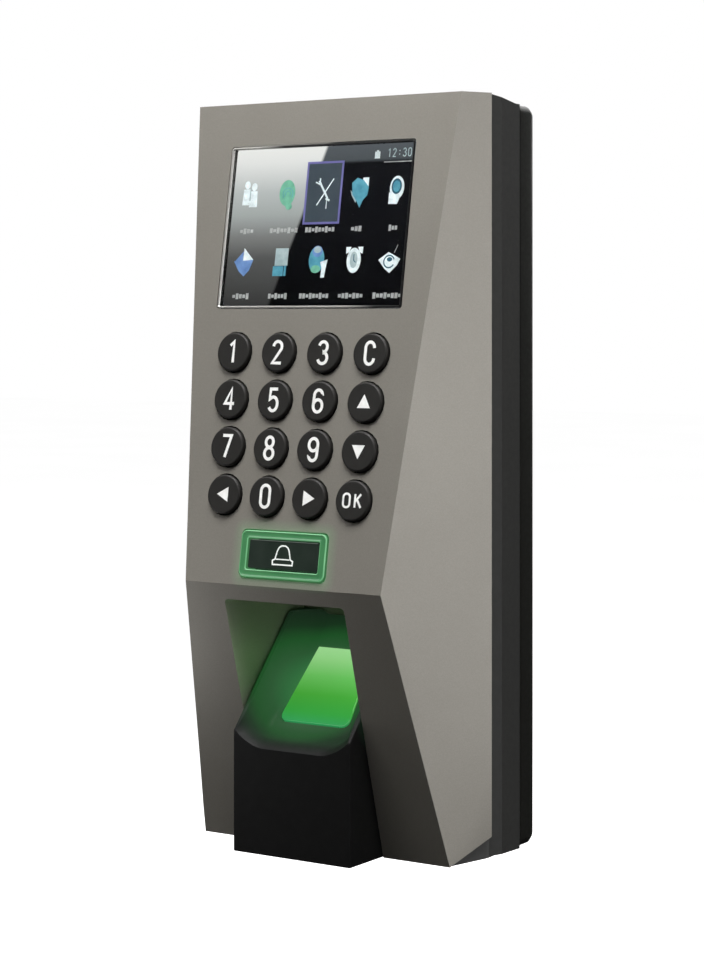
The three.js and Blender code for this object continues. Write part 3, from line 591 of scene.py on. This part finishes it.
class Drawing:
    """Flat shapes laid on a face as one thin mesh, each with its own material."""

    def __init__(self, z, thick=0.02):
        self.bm = bmesh.new()
        self.z = z
        self.thick = thick
        self.materials = []

    def paint(self, material):
        if material not in self.materials:
            self.materials.append(material)
        return self.materials.index(material)

    def fill(self, outline, material, layer=0):
        low = self.z + layer * self.thick
        index = self.paint(material)
        bottom = [self.bm.verts.new((x, y, low)) for x, y in outline]
        top = [self.bm.verts.new((x, y, low + self.thick)) for x, y in outline]
        faces = [self.bm.faces.new(top), self.bm.faces.new(bottom[::-1])]
        for i in range(len(outline)):
            j = (i + 1) % len(outline)
            faces.append(self.bm.faces.new([bottom[i], bottom[j], top[j], top[i]]))
        for face in faces:
            face.material_index = index

    def stroke(self, points, width, material, layer=0, closed=False):
        """A line of even width through the points, as one closed strip."""
        low = self.z + layer * self.thick
        index = self.paint(material)
        count = len(points)
        rows = []
        for i, (x, y) in enumerate(points):
            here = Vector((x, y))
            into = here - Vector(points[i - 1]) if closed or i else None
            onward = Vector(points[(i + 1) % count]) - here if closed or i + 1 < count else None
            into, onward = (into or onward).normalized(), (onward or into).normalized()
            way = (into + onward).normalized()
            spread = width / 2 / max(way.dot(onward), 0.6)
            side = Vector((-way.y, way.x)) * spread
            rows.append([
                self.bm.verts.new((x + sign * side.x, y + sign * side.y, low + lift))
                for sign, lift in ((1, 0), (-1, 0), (-1, self.thick), (1, self.thick))
            ])
        faces = []
        for i in range(count if closed else count - 1):
            near, far = rows[i], rows[(i + 1) % count]
            for k in range(4):
                after = (k + 1) % 4
                faces.append(self.bm.faces.new([near[k], far[k], far[after], near[after]]))
        if not closed:
            faces += [self.bm.faces.new(rows[0]), self.bm.faces.new(rows[-1][::-1])]
        for face in faces:
            face.material_index = index

    def piece(self, name, matrix, body, slot):
        return finish_mesh(name, mesh_from(self.bm, name, matrix), self.materials, body)


def glyph(figure):
    """Centre lines of one figure, 2.6 wide and 5.2 tall about 0, 0: (points, closed)."""
    six = [(1.15, 1.5), *bowl(0, 1.3, 1.2, 1.3, 10, 170, 10), (-1.3, -1.1),
           *bowl(0, -1.15, 1.3, 1.45, 180, 515, 24)]
    oval = [*bowl(0, 1.3, 1.3, 1.3, 0, 180), *bowl(0, -1.3, 1.3, 1.3, 180, 360)]
    return {
        "0": [(oval, True)],
        "1": [([(-0.85, 1.5), (0.2, 2.5), (0.2, -2.6)], False)],
        "2": [([*bowl(0, 1.3, 1.25, 1.3, 175, -25), (-1.3, -2.6), (1.35, -2.6)], False)],
        "3": [([*bowl(-0.05, 1.35, 1.2, 1.25, 165, -90, 14),
                *bowl(-0.05, -1.25, 1.35, 1.35, 90, -165, 16)], False)],
        "4": [([(0.5, -2.6), (0.5, 2.5), (-1.4, -1.1), (1.45, -1.1)], False)],
        "5": [([(1.15, 2.6), (-0.95, 2.6), (-1.1, 0.1), *bowl(0, -0.95, 1.3, 1.65, 130, -150)], False)],
        "6": [(six, False)],
        "7": [([(-1.3, 2.6), (1.3, 2.6), (-0.35, -2.6)], False)],
        "8": [(bowl(0, 1.4, 1.1, 1.2, 0, 345, 22), True), (bowl(0, -1.3, 1.3, 1.35, 0, 345, 22), True)],
        "9": [([(-x, -y) for x, y in six], False)],
        "C": [([*bowl(0, 1.25, 1.25, 1.35, -2, 180, 14), *bowl(0, -1.25, 1.25, 1.35, 180, 362, 14)], False)],
        "O": [(oval, True)],
        "K": [([(-1.1, 2.6), (-1.1, -2.6)], False), ([(1.2, 2.6), (-0.95, -0.2)], False),
              ([(-0.3, 0.55), (1.3, -2.6)], False)],
    }[figure]


def write(sheet, text, x, y, width, height, weight, ink):
    """A row of figures, each width by height, centred at x, y."""
    pitch = width * 1.35
    left = x - pitch * (len(text) - 1) / 2
    for position, figure in enumerate(text):
        cx = left + position * pitch
        if figure == ":":
            for lift in (-0.2, 0.2):
                sheet.fill(ellipse(cx, y + lift * height, weight * 0.6, weight * 0.6, 12), ink)
            continue
        for shift, (points, closed) in enumerate(glyph(figure)):
            fit_x, fit_y = (width - weight) / 2.6, (height - weight) / 5.2
            line = [(cx + px * fit_x, y + py * fit_y) for px, py in points]
            sheet.stroke(line, weight, ink, shift * 0.1, closed)


# ------------------------------------------------------------------ casing


def casing():
    paint = cover_paint()
    refined("front_cover", paint, "terminal", 0.35, 7.5, 3)
    housing = moulded("housing_plastic", (0.047, 0.047, 0.045), 0.5)
    refined("rear_housing", housing, "terminal", 0.35, 9, 2)
    plate = moulded("plate_plastic", (0.012, 0.012, 0.010), 0.55, gloss=0.3)
    refined("wall_plate", plate, "wall_plate", 0.3, 30, 2)


# ------------------------------------------------------------------ display


def display():
    width, height = WINDOW["width"] - 2 * GAP, WINDOW["height"] - 2 * GAP
    outer = rounded_rect(width, height, 0.6, 0, WINDOW["y"], 4)
    inner = rounded_rect(width - 2 * DISPLAY_RIM, height - 2 * DISPLAY_RIM, 0.3, 0, WINDOW["y"], 4)
    rim = swept_frame("display_frame_fine", outer, inner, [
        (0, -0.3), (0, 0.04), (0.12, 0.11), (0.5, 0.12), (0.8, -0.02), (1, -0.22), (1, -0.3),
    ], PANEL)
    finish_mesh("display_frame_fine", rim, display_rim(), "terminal", "display_frame")

    glass = slab_mesh("display_window_fine", outer, GLASS_BACK, GLASS_FRONT, PANEL, 0.12)
    finish_mesh("display_window_fine", glass, window_glass(), "terminal", "display_window")

    cell = slab_mesh("lcd_panel_fine", rounded_rect(width - 0.2, height - 0.2, 0.5, 0, WINDOW["y"], 4),
                     CELL_BACK, SCREEN_Z, PANEL, 0.08)
    finish_mesh("lcd_panel_fine", cell, screen_with_painted_sheen(), "terminal", "lcd_panel")
    screen_contents()


SCREEN_INKS = [
    ("white", (0.42, 0.47, 0.46), (0.80, 0.85, 0.84), 700),
    ("pale", (0.22, 0.30, 0.31), (0.40, 0.47, 0.46), 700),
    ("green", (0.08, 0.27, 0.17), (0.16, 0.42, 0.28), 800),
    ("teal", (0.03, 0.17, 0.25), (0.10, 0.33, 0.40), 700),
    ("deep", (0.01, 0.06, 0.09), (0.02, 0.1, 0.14), 400),
    ("blue", (0.06, 0.13, 0.3), (0.16, 0.27, 0.5), 500),
    ("violet", (0.10, 0.09, 0.26), (0.15, 0.14, 0.34), 300),
    ("tile", (0.030, 0.042, 0.052), (0.040, 0.054, 0.066), 300),
    ("grey", (0.20, 0.20, 0.19), (0.42, 0.42, 0.40), 900),
]


def screen_contents():
    """Generic pictures for ten menu entries, a status bar and blurred label strips."""
    inks = {name: lit(f"icon_{name}", low, high, 1.0, scale) for name, low, high, scale in SCREEN_INKS}
    sheet = Drawing(SCREEN_Z + 0.02)
    status_bar(sheet, inks)
    columns = [-20.2, -9.7, 0.4, 10.4, 20.2]
    rows = [WINDOW["y"] + 8.0, WINDOW["y"] - 7.9]
    pictures = [people, role, tools, shield, dial, gem, card, globe, alarm, disc]
    label_sizes = [4.0, 8.0, 8.2, 3.0, 2.4, 4.8, 5.4, 8.2, 6.8, 7.8]
    for index, picture in enumerate(pictures):
        x, y = columns[index % 5], rows[index // 5]
        picture(sheet, inks, x, y)
        label_strip(sheet, inks, x, y - 8.6 + index // 5 * 0.5, label_sizes[index])
    sheet.piece("screen_pictures", PANEL, "terminal", "screen_icons")


def status_bar(sheet, inks):
    y = WINDOW["y"] + WINDOW["height"] / 2 - 3.1
    sheet.fill(box(13.6, y - 0.7, 15.0, y + 0.9), inks["white"])
    sheet.fill(box(14.0, y + 0.9, 14.6, y + 1.2), inks["white"])
    sheet.stroke([(16.2, y - 1.6), (24.2, y - 1.6)], 0.22, inks["grey"])
    write(sheet, "12:30", 20.2, y + 0.5, 1.0, 2.1, 0.24, inks["pale"])


def label_strip(sheet, inks, x, y, width):
    """A row of short bars that reads as a blurred label, with no letters in it."""
    count = max(2, round(width / 0.95))
    pitch = width / count
    for i in range(count):
        left = x - width / 2 + i * pitch
        tall = 0.52 + 0.18 * math.sin(2.3 * i + x)
        sheet.fill(box(left, y - tall, left + pitch * 0.78, y + tall), inks["grey"])


def people(sheet, inks, x, y):
    for shift, lift in ((-1.0, 0.2), (1.0, -0.3)):
        sheet.fill(ellipse(x + shift, y + 2.2 + lift, 0.8, 0.95), inks["white"], shift > 0)
        sheet.fill([(x + shift - 0.95, y + 1.2 + lift), (x + shift + 0.95, y + 1.2 + lift),
                    (x + shift + 1.15, y - 2.6 + lift), (x + shift - 1.15, y - 2.6 + lift)],
                   inks["white"], shift > 0)
    sheet.stroke([(x, y + 1.6), (x, y - 1.4)], 0.3, inks["pale"], 2)


def role(sheet, inks, x, y):
    sheet.fill(ellipse(x, y + 0.2, 2.2, 3.1), inks["green"])
    for radius in (0.7, 1.4):
        sheet.stroke(bowl(x + 0.2, y, radius, radius, -40, 220, 12), 0.16, inks["teal"], 1)
    sheet.fill(ellipse(x + 0.7, y - 3.0, 0.9, 0.8), inks["green"])


def tools(sheet, inks, x, y):
    outline = box(x - 4.8, y + 7.1, x + 4.8, y - 7.1)
    sheet.fill(outline, inks["tile"])
    sheet.stroke(outline, 0.5, inks["violet"], 1, True)
    sheet.stroke([(x - 1.4, y + 2.8), (x + 1.3, y - 1.4)], 0.5, inks["white"], 2)
    sheet.stroke([(x + 2.6, y + 3.2), (x - 1.6, y - 2.9)], 0.3, inks["white"], 2)
    sheet.stroke([(x - 2.3, y + 2.5), (x - 1.2, y + 2.0), (x - 1.1, y + 3.4)], 0.35, inks["white"], 3)
    sheet.stroke([(x + 0.8, y - 1.4), (x + 1.9, y - 1.9)], 0.5, inks["white"], 3)
    sheet.stroke([(x + 1.1, y - 1.6), (x + 1.1, y - 3.8)], 0.22, inks["white"], 3)


def shield(sheet, inks, x, y):
    sheet.fill(box(x + 0.6, y + 3.2, x + 2.2, y + 0.8), inks["white"])
    sheet.fill([(x - 2.6, y + 0.4), (x - 2.2, y - 0.8), (x - 1.0, y - 2.6), (x - 0.6, y - 1.6)],
               inks["pale"])
    sheet.fill([(x - 2.3, y + 2.0), (x - 0.9, y + 3.2), (x + 0.8, y + 2.6), (x + 2.3, y + 1.0),
                (x + 2.1, y - 0.9), (x + 1.0, y - 2.0), (x + 0.2, y - 3.8), (x - 0.6, y - 2.4),
                (x - 2.0, y - 0.6)], inks["teal"], 1)


def dial(sheet, inks, x, y):
    sheet.fill(ellipse(x + 0.1, y + 0.6, 1.9, 2.7), inks["white"])
    sheet.fill([(x - 1.9, y - 0.4), (x + 0.9, y - 2.0), (x + 0.4, y - 3.2), (x - 1.9, y - 3.1)],
               inks["white"])
    sheet.fill(ellipse(x, y + 0.9, 1.35, 1.8), inks["deep"], 1)
    sheet.fill(ellipse(x, y + 0.9, 0.95, 1.3), inks["teal"], 2)


def gem(sheet, inks, x, y):
    sheet.fill([(x - 2.9, y + 0.2), (x + 2.6, y + 0.5), (x + 1.6, y - 2.0), (x + 0.2, y - 3.4),
                (x - 1.3, y - 2.2)], inks["blue"])
    sheet.fill([(x - 0.2, y + 3.3), (x + 2.6, y + 0.5), (x - 0.3, y + 0.3)], inks["white"], 1)
    sheet.fill([(x - 0.3, y + 2.6), (x - 0.4, y + 0.3), (x - 2.6, y + 0.2)], inks["blue"])


def card(sheet, inks, x, y):
    sheet.fill(box(x - 1.7, y + 3.1, x + 1.9, y - 1.0), inks["pale"])
    sheet.fill(box(x - 2.1, y - 1.1, x + 0.8, y - 3.4), inks["teal"])
    sheet.fill(box(x + 1.0, y - 1.0, x + 1.6, y - 3.4), inks["teal"])


def globe(sheet, inks, x, y):
    sheet.fill(ellipse(x - 0.2, y + 0.3, 2.1, 3.1), inks["teal"])
    sheet.fill(ellipse(x - 0.1, y + 2.2, 1.4, 1.3), inks["blue"], 1)
    sheet.fill(ellipse(x - 0.1, y + 2.6, 1.0, 0.8), inks["pale"], 2)
    sheet.fill(ellipse(x - 0.3, y - 1.9, 1.3, 0.9), inks["green"], 1)
    sheet.fill([(x + 0.9, y - 0.3), (x + 2.9, y + 0.3), (x + 2.6, y - 1.4), (x + 2.3, y - 3.9),
                (x + 1.3, y - 3.9), (x + 1.4, y - 1.6)], inks["white"], 3)


def alarm(sheet, inks, x, y):
    for side in (-1, 1):
        sheet.fill([(x + side * 0.9, y + 3.1), (x + side * 2.3, y + 3.1), (x + side * 2.2, y + 1.5),
                    (x + side * 1.4, y + 1.9)], inks["white"])
    sheet.fill(ellipse(x, y, 1.9, 2.9), inks["white"], 1)
    sheet.fill(ellipse(x, y + 0.1, 1.0, 1.9), inks["pale"], 2)
    sheet.stroke([(x, y + 1.4), (x, y), (x + 0.6, y - 0.5)], 0.24, inks["deep"], 3)


def disc(sheet, inks, x, y):
    sheet.fill([(x - 3.2, y), (x - 0.6, y + 1.8), (x + 2.6, y + 0.2), (x + 1.9, y - 1.2),
                (x, y - 3.0), (x - 1.4, y - 2.0)], inks["white"])
    sheet.stroke(bowl(x - 0.3, y - 0.4, 1.4, 1.4, 20, 330), 0.3, inks["deep"], 1)
    sheet.fill(ellipse(x - 0.2, y + 0.1, 0.7, 0.5), inks["deep"], 1)
    sheet.stroke([(x + 0.9, y + 1.6), (x + 1.7, y + 3.4)], 0.16, inks["grey"], 1)


# ------------------------------------------------------------------ keypad and bell


def key_profile():
    """Cap with a rounded rim and a very shallow dish, above a retaining flange."""
    rim, chamfer, dish_radius = 0.45, 0.1, 2.6
    top = KEY_BOTTOM + 0.65
    return [
        (0, KEY_BOTTOM), (KEY_FLANGE - chamfer, KEY_BOTTOM), (KEY_FLANGE, KEY_BOTTOM + chamfer),
        (KEY_FLANGE, top - chamfer), (KEY_FLANGE - chamfer, top), (KEY_RADIUS, top),
        *bowl(KEY_RADIUS - rim, KEY_PROUD - rim, rim, rim, 0, 90, 6),
        (dish_radius, KEY_PROUD - KEY_DISH * 0.6), (0, KEY_PROUD - KEY_DISH),
    ]


def keypad():
    cap = moulded("key_plastic", (0.019, 0.018, 0.0165), 0.5, 0.05, 3000, 0.3)
    paint = Surface("legend_paint", (0.78, 0.78, 0.76), 0.5)
    paint.mottle((0.7, 0.7, 0.68), (0.82, 0.82, 0.8), 600)
    ink = paint.glow(paint.ramp(paint.noise(400), [(0, (0.6, 0.6, 0.58)), (1, (0.72, 0.72, 0.7))]), 0.25)
    ink = ink.grain(0.05, 3000).material
    for line, row in enumerate(KEY_ROWS):
        for column, label in enumerate(row):
            x = (column - 1.5) * (KEY_PITCH[0] + line * KEY_SPREAD)
            y = KEY_FIRST_Y + line * KEY_PITCH[1]
            name = f"key_{label}"
            matrix = PANEL @ Matrix.Translation((x, y, 0))
            mesh = turned_mesh(f"{name}_cap", key_profile(), 56, matrix)
            finish_mesh(f"{name}_cap", mesh, cap, name, name)
            legend(label, name, matrix, ink)


def legend(label, body, matrix, ink):
    """A white arrow, figure or word on a key."""
    sheet = Drawing(KEY_PROUD - 0.045, 0.05)
    turns = {"up": 0, "left": 90, "down": 180, "right": 270}
    if label in turns:
        spin = Matrix.Rotation(math.radians(turns[label]), 2)
        sheet.fill([tuple(spin @ Vector(corner)) for corner in ((-1.7, -1.35), (1.7, -1.35), (0, 1.75))], ink)
    elif label == "ok":
        write(sheet, "OK", 0, 0, 2.2, 3.5, 0.5, ink)
    else:
        write(sheet, "C" if label == "clear" else label, 0, 0, 3.1, 5.7, 0.72, ink)
    sheet.piece(f"{body}_legend", matrix, body, "legend_paint")


def bell():
    steps = 8
    outer = rounded_rect(RING["width"], RING["height"], RING["corner"], 0, RING["y"], steps)
    inner = rounded_rect(BELL["width"] + 0.6, BELL["height"] + 0.6, BELL["corner"], 0, BELL["y"], steps)
    proud = RING["proud"]
    share, back, top = RING_FLANGE["share"], RING_FLANGE["back"], RING_FLANGE["top"]
    profile = [
        (share, back), (share, top), (0, top), (0, proud - 0.2), (0.05, proud - 0.06), (0.14, proud),
        (0.24, proud - 0.1), (0.5, proud - 0.16), (0.78, proud - 0.1), (0.88, proud),
        (0.96, proud - 0.06), (1, proud - 0.2), (1, back),
    ]
    ring = swept_frame("bell_light_ring_fine", outer, inner, profile, PANEL, bright=(3, 4, 9, 10))
    edge = lit("light_guide_edge", (0.09, 0.30, 0.13), (0.15, 0.38, 0.19), 1.0, 200)
    finish_mesh("bell_light_ring_fine", ring, [light_guide(), edge], "terminal",
                "bell_light_ring")
    gloss = Surface("bell_gloss", (0.012, 0.015, 0.013), 0.2)
    gloss.set("Coat Weight", 0.4)
    gloss.mottle((0.012, 0.014, 0.013), (0.018, 0.021, 0.019), 200)
    # Painted green glow of the ring's light on the button.
    painted_ring_glow = gloss.ramp(gloss.noise(150), [(0.3, (0.006, 0.012, 0.008)), (0.7, (0.010, 0.018, 0.012))])
    gloss.glow(painted_ring_glow, 1.0)
    grow, back, top = BELL_FLANGE["grow"], BELL_FLANGE["back"], BELL_FLANGE["top"]
    levels = [(grow, back), (grow, top), (0, top), (0, -0.1), (-0.07, 0.08), (-0.25, 0.15)]
    button = stacked_mesh("bell_button_cap", [(
        rounded_rect(BELL["width"] + 2 * out, BELL["height"] + 2 * out, BELL["corner"], 0, BELL["y"]), z,
    ) for out, z in levels], PANEL)
    finish_mesh("bell_button_cap", button, gloss.uneven(0.16, 0.24, 400).material, "bell_button",
                "bell_button")
    bell_picture()


def bell_picture():
    """The outline of a bell with a band above its foot."""
    ink = lit("bell_ink", (0.6, 0.64, 0.6), (0.78, 0.8, 0.78), 0.8, 500)
    sheet = Drawing(0.152, 0.03)
    half = [(2.7, -2.1), (2.75, -1.2), (2.1, -0.9), (1.6, 1.0), (1.2, 1.75), (0.5, 2.15)]
    outline = half + [(-x, y) for x, y in reversed(half)]
    sheet.stroke([(x, BELL["y"] + y) for x, y in outline], 0.32, ink, 0, True)
    sheet.stroke([(-1.85, BELL["y"] - 0.9), (1.85, BELL["y"] - 0.9)], 0.26, ink)
    sheet.piece("bell_button_picture", PANEL, "bell_button", "legend_paint")


# ------------------------------------------------------------------ finger sensor


def smooth(value):
    value = min(max(value, 0), 1)
    return value * value * (3 - 2 * value)


def trough_section(y):
    """One cross-section of the finger trough: (x, z) points, from rim to rim."""
    deepen = smooth((y - TROUGH_DEEPENS["from"]) / TROUGH_DEEPENS["over"])
    depth = TROUGH_LIP_DEPTH + (TROUGH_DEPTH - TROUGH_LIP_DEPTH) * deepen
    upward = min(max((y - TROUGH_FLOOR["from"]) / TROUGH_FLOOR["over"], 0), 1)
    floor = TROUGH_FLOOR["lip_half"] + TROUGH_FLOOR["widens"] * deepen - TROUGH_FLOOR["narrows"] * upward
    rim = TROUGH_RIM["lip_half"] - TROUGH_RIM["narrows"] * deepen
    above, steps = 3, 16
    points = [(rim, above)]
    for step in range(steps + 1):
        share = step / steps
        points.append((rim + (floor - rim) * share, -depth * math.sin(share * math.pi / 2)))
    return points + [(-x, z) for x, z in reversed(points)]


def trough_cutter():
    """The trough as a solid, from ahead of the hood's lip to past its crest."""
    bm = bmesh.new()
    first, last = -8, 48
    loops = [
        [bm.verts.new((x, y, z)) for x, z in trough_section(y)] for y in range(first, last + 1)
    ]
    for near, far in zip(loops, loops[1:]):
        for i in range(len(near)):
            j = (i + 1) % len(near)
            bm.faces.new([near[i], near[j], far[j], far[i]])
    bm.faces.new(loops[0])
    bm.faces.new(loops[-1])
    return tool_object("trough_cutter", mesh_from(bm, "trough_cutter", CRADLE))


def window_outline(margin):
    """The sensor window, narrower at its top end, with its two lower corners rounded."""
    low, high = SENSOR_WINDOW["low"] + margin, SENSOR_WINDOW["high"] - margin
    wide, narrow = SENSOR_WINDOW["low_half"] - margin, SENSOR_WINDOW["high_half"] - margin
    corner, lean, steps = SENSOR_WINDOW["corner"], 0.2, 6
    right = []
    for step in range(steps + 1):
        t = step / steps
        x = (1 - t) ** 2 * (wide - corner) + 2 * t * (1 - t) * wide + t * t * (wide - lean)
        y = (1 - t) ** 2 * low + 2 * t * (1 - t) * low + t * t * (low + corner)
        right.append((x, y))
    right.append((narrow, high))
    return right + [(-x, y) for x, y in reversed(right)]


def tool_object(name, mesh):
    tool = bpy.data.objects.new(name, mesh)
    bpy.context.scene.collection.objects.link(tool)
    return tool


def shaped(body, steps):
    """Joins or subtracts each (operation, tool) in turn and returns the mesh that results."""
    for operation, tool in steps:
        modifier = body.modifiers.new("shape", "BOOLEAN")
        modifier.operation = operation
        modifier.solver = "EXACT"
        modifier.object = tool
    bpy.context.view_layer.update()
    seen = body.evaluated_get(bpy.context.evaluated_depsgraph_get())
    result = bpy.data.meshes.new_from_object(seen)
    for item in [body, *(step[1] for step in steps)]:
        bpy.data.objects.remove(item)
    return result


def hood_bar(name, radius, start, end, side):
    """A round bar from front to back at one of the hood's two screw places."""
    x, height = HOOD_SCREW
    matrix = CASING @ Matrix.Translation((side * x, height, 0))
    profile = [(0, start), (radius, start), (radius, end), (0, end)]
    return tool_object(name, turned_mesh(name, profile, 32, matrix))


def side_slab(name, outline, half):
    """A prism of a side outline of (ahead, height) pairs, between two x planes."""
    matrix = Matrix((
        (0, 0, MM, 0), (-MM, 0, 0, PARTING_Y * MM), (0, MM, 0, -ORIGIN_HEIGHT * MM), (0, 0, 0, 1),
    ))
    return slab_mesh(name, outline, -half, half, matrix, 0)


def sensor_hood():
    crest_ahead, crest_height = HOOD_CREST
    outer = side_slab("sensor_hood", [
        (HOOD_FRONT, 0), (HOOD_FRONT, HOOD_LIP), (crest_ahead, crest_height),
        (HOOD_BACK, crest_height), (HOOD_BACK, 0),
    ], HOOD_HALF)
    bm = bmesh.new()
    bm.from_mesh(outer)
    long_edges = [edge for edge in bm.edges if edge.calc_face_angle(0) > math.radians(20)]
    bmesh.ops.bevel(bm, geom=long_edges, offset=0.35 * MM, segments=3, profile=0.5, affect="EDGES")
    bm.to_mesh(outer)
    bm.free()
    slope = math.tan(math.atan2(crest_height - HOOD_LIP, HOOD_FRONT - crest_ahead))
    drop = (TROUGH_DEPTH + HOOD_WALL) * math.hypot(1, slope)
    inside = HOOD_FRONT - HOOD_WALL
    flat = crest_height - HOOD_WALL
    bend = HOOD_FRONT - (flat + drop - HOOD_LIP) / slope
    hollow = side_slab("hood_hollow", [
        (inside, HOOD_WALL), (inside, HOOD_LIP + (HOOD_FRONT - inside) * slope - drop),
        (max(bend, HOOD_BACK - 0.9), flat), (HOOD_BACK - 1, flat), (HOOD_BACK - 1, HOOD_WALL),
    ], HOOD_HALF - HOOD_WALL)
    opening = slab_mesh("hood_opening", window_outline(0), -12, 2, CRADLE, 0)
    steps = [("DIFFERENCE", tool_object("hood_hollow", hollow))]
    for side in (-1, 1):
        post = hood_bar("hood_post", HOOD_POST_RADIUS, HOOD_BACK, HOOD_POST_END, side)
        bore = hood_bar("hood_bore", HOOD_BORE_RADIUS, HOOD_BACK - 1, HOOD_BORE_END, side)
        steps += [("UNION", post), ("DIFFERENCE", bore)]
    steps += [("DIFFERENCE", trough_cutter()), ("DIFFERENCE", tool_object("hood_opening", opening))]
    mesh = shaped(tool_object("sensor_hood", outer), steps)
    mesh.materials.clear()
    finish_mesh("sensor_hood_fine", mesh, hood_plastic(), "terminal", "sensor_hood", 24)


def sensor():
    sensor_hood()
    back, front = SENSOR_WINDOW["back"], SENSOR_WINDOW["proud"] - TROUGH_DEPTH
    glass = slab_mesh("sensor_window_fine", window_outline(GAP), back, front, CRADLE, 0.15)
    finish_mesh("sensor_window_fine", glass, sensor_light(), "terminal", "sensor_window")


# ------------------------------------------------------------------ pieces inside


def inner_pieces():
    looks = {
        "board": board_mask("board_mask", (0.014, 0.10, 0.035)),
        "screw_metal": plated("screw_metal", (0.55, 0.55, 0.54), 0.3),
        "tray_metal": plated("tray_metal", (0.5, 0.5, 0.5), 0.35, (1, 1, 12)),
        "jack_metal": plated("jack_metal", (0.62, 0.62, 0.61), 0.2, (12, 1, 1)),
        "cell_metal": plated("cell_metal", (0.62, 0.61, 0.58), 0.25),
        "black_part": moulded("black_part", (0.011, 0.011, 0.012), 0.35, 0.1),
        "speaker_part": moulded("speaker_part", (0.013, 0.013, 0.013), 0.6),
        "silicone": moulded("silicone", (0.3, 0.3, 0.31), 0.65, 0.05),
        "connector_green": moulded("connector_green", (0.03, 0.22, 0.07), 0.4),
        "ribbon": ribbon_film(),
    }
    done = {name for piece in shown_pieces() for name in piece.get("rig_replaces", [])}
    slots = {row["node"]: row["material_slot"] for row in frame["record"]["subparts"]}
    for node in sorted(frame["nodes"]):
        if node in done:
            continue
        body = next(b for b, members in frame["record"]["behaviour"]["bodies"].items() if node in members)
        refined(node, looks[slots[node]], body, 0.12, 30, 2)


# ------------------------------------------------------------------ stage


def stage():
    """Pale floor and white surroundings, which leave the lighting of the part to the softboxes."""
    floor_mesh = bpy.data.meshes.new("floor")
    reach, drop = 8.0, -0.35
    corners = [(x, y, drop) for x, y in box(-reach, -reach, reach, reach)]
    floor_mesh.from_pydata(corners, [], [(0, 1, 2, 3)])
    floor = bpy.data.objects.new("floor", floor_mesh)
    bpy.context.scene.collection.objects.link(floor)
    floor.visible_diffuse = False
    floor.visible_glossy = False
    floor.visible_transmission = False
    pale = Surface("floor_pale", (0.8, 0.8, 0.8), 0.9)
    pale.mottle((0.78, 0.78, 0.78), (0.82, 0.82, 0.82), 3)
    pale.glow(pale.ramp(pale.noise(3), [(0.3, (0.985,)), (0.7, (1.0,))]), 1.0)
    floor_mesh.materials.append(pale.material)

    world = bpy.data.worlds.new("studio")
    world.use_nodes = True
    background = world.node_tree.nodes["Background"]
    background.inputs["Color"].default_value = (1, 1, 1, 1)
    background.inputs["Strength"].default_value = 1.0
    world.cycles_visibility.diffuse = False
    world.cycles_visibility.glossy = False
    world.cycles_visibility.transmission = False
    bpy.context.scene.world = world
    bpy.context.scene.view_settings.view_transform = "Standard"


def softbox(name, at, aim, size, power, color=(1, 1, 1)):
    light = bpy.data.lights.new(name, "AREA")
    light.shape = "RECTANGLE"
    light.size, light.size_y = size
    light.energy = power
    light.color = color
    lamp = bpy.data.objects.new(name, light)
    lamp.location = at
    lamp.rotation_mode = "QUATERNION"
    lamp.rotation_quaternion = (Vector(aim) - Vector(at)).to_track_quat("-Z", "Y")
    bpy.context.scene.collection.objects.link(lamp)
    return lamp


LIGHTS = [
    ("above", (0.1, -0.35, 1.0), (0, 0, 0), (0.8, 0.5), 21),
    ("upper_left", (-0.55, -0.62, 0.75), (0, 0, 0.03), (0.5, 0.5), 3.2),
    ("side", (1.1, -0.05, 0.0), (0, 0, 0), (0.4, 0.6), 3.5),
    ("side_low", (0.9, 0.08, -0.6), (0, 0, -0.05), (0.4, 0.4), 68),
    ("left_side", (-0.09, -0.07, -0.06), (-0.02, -0.03, -0.05), (0.06, 0.06), 0.0204),
    ("back", (-0.2, 1.3, 0.5), (0, 0, 0), (0.8, 0.8), 14),
    ("recess_glow", place(15.4, 9, 46), place(-16, 8, 44), (0.007, 0.007), 0.0016, (0.75, 1.0, 0.7)),
]


def lights():
    for light in LIGHTS:
        softbox(*light).visible_camera = False


def camera():
    """Level camera off the front right, above the casing's middle; its shift centres the part."""
    azimuth = math.radians(33.476)
    data = bpy.data.cameras.new("camera")
    data.sensor_width = 36
    data.lens = 88.48
    data.shift_x = 0.0013
    data.shift_y = -0.1707
    data.clip_start = 0.01
    view = bpy.data.objects.new("camera", data)
    view.location = (0.3038, -0.4771, 0.0362)
    view.rotation_euler = (math.pi / 2, 0, azimuth)
    bpy.context.scene.collection.objects.link(view)
    bpy.context.scene.camera = view


casing()
display()
keypad()
bell()
sensor()
inner_pieces()
stage()
lights()
camera()
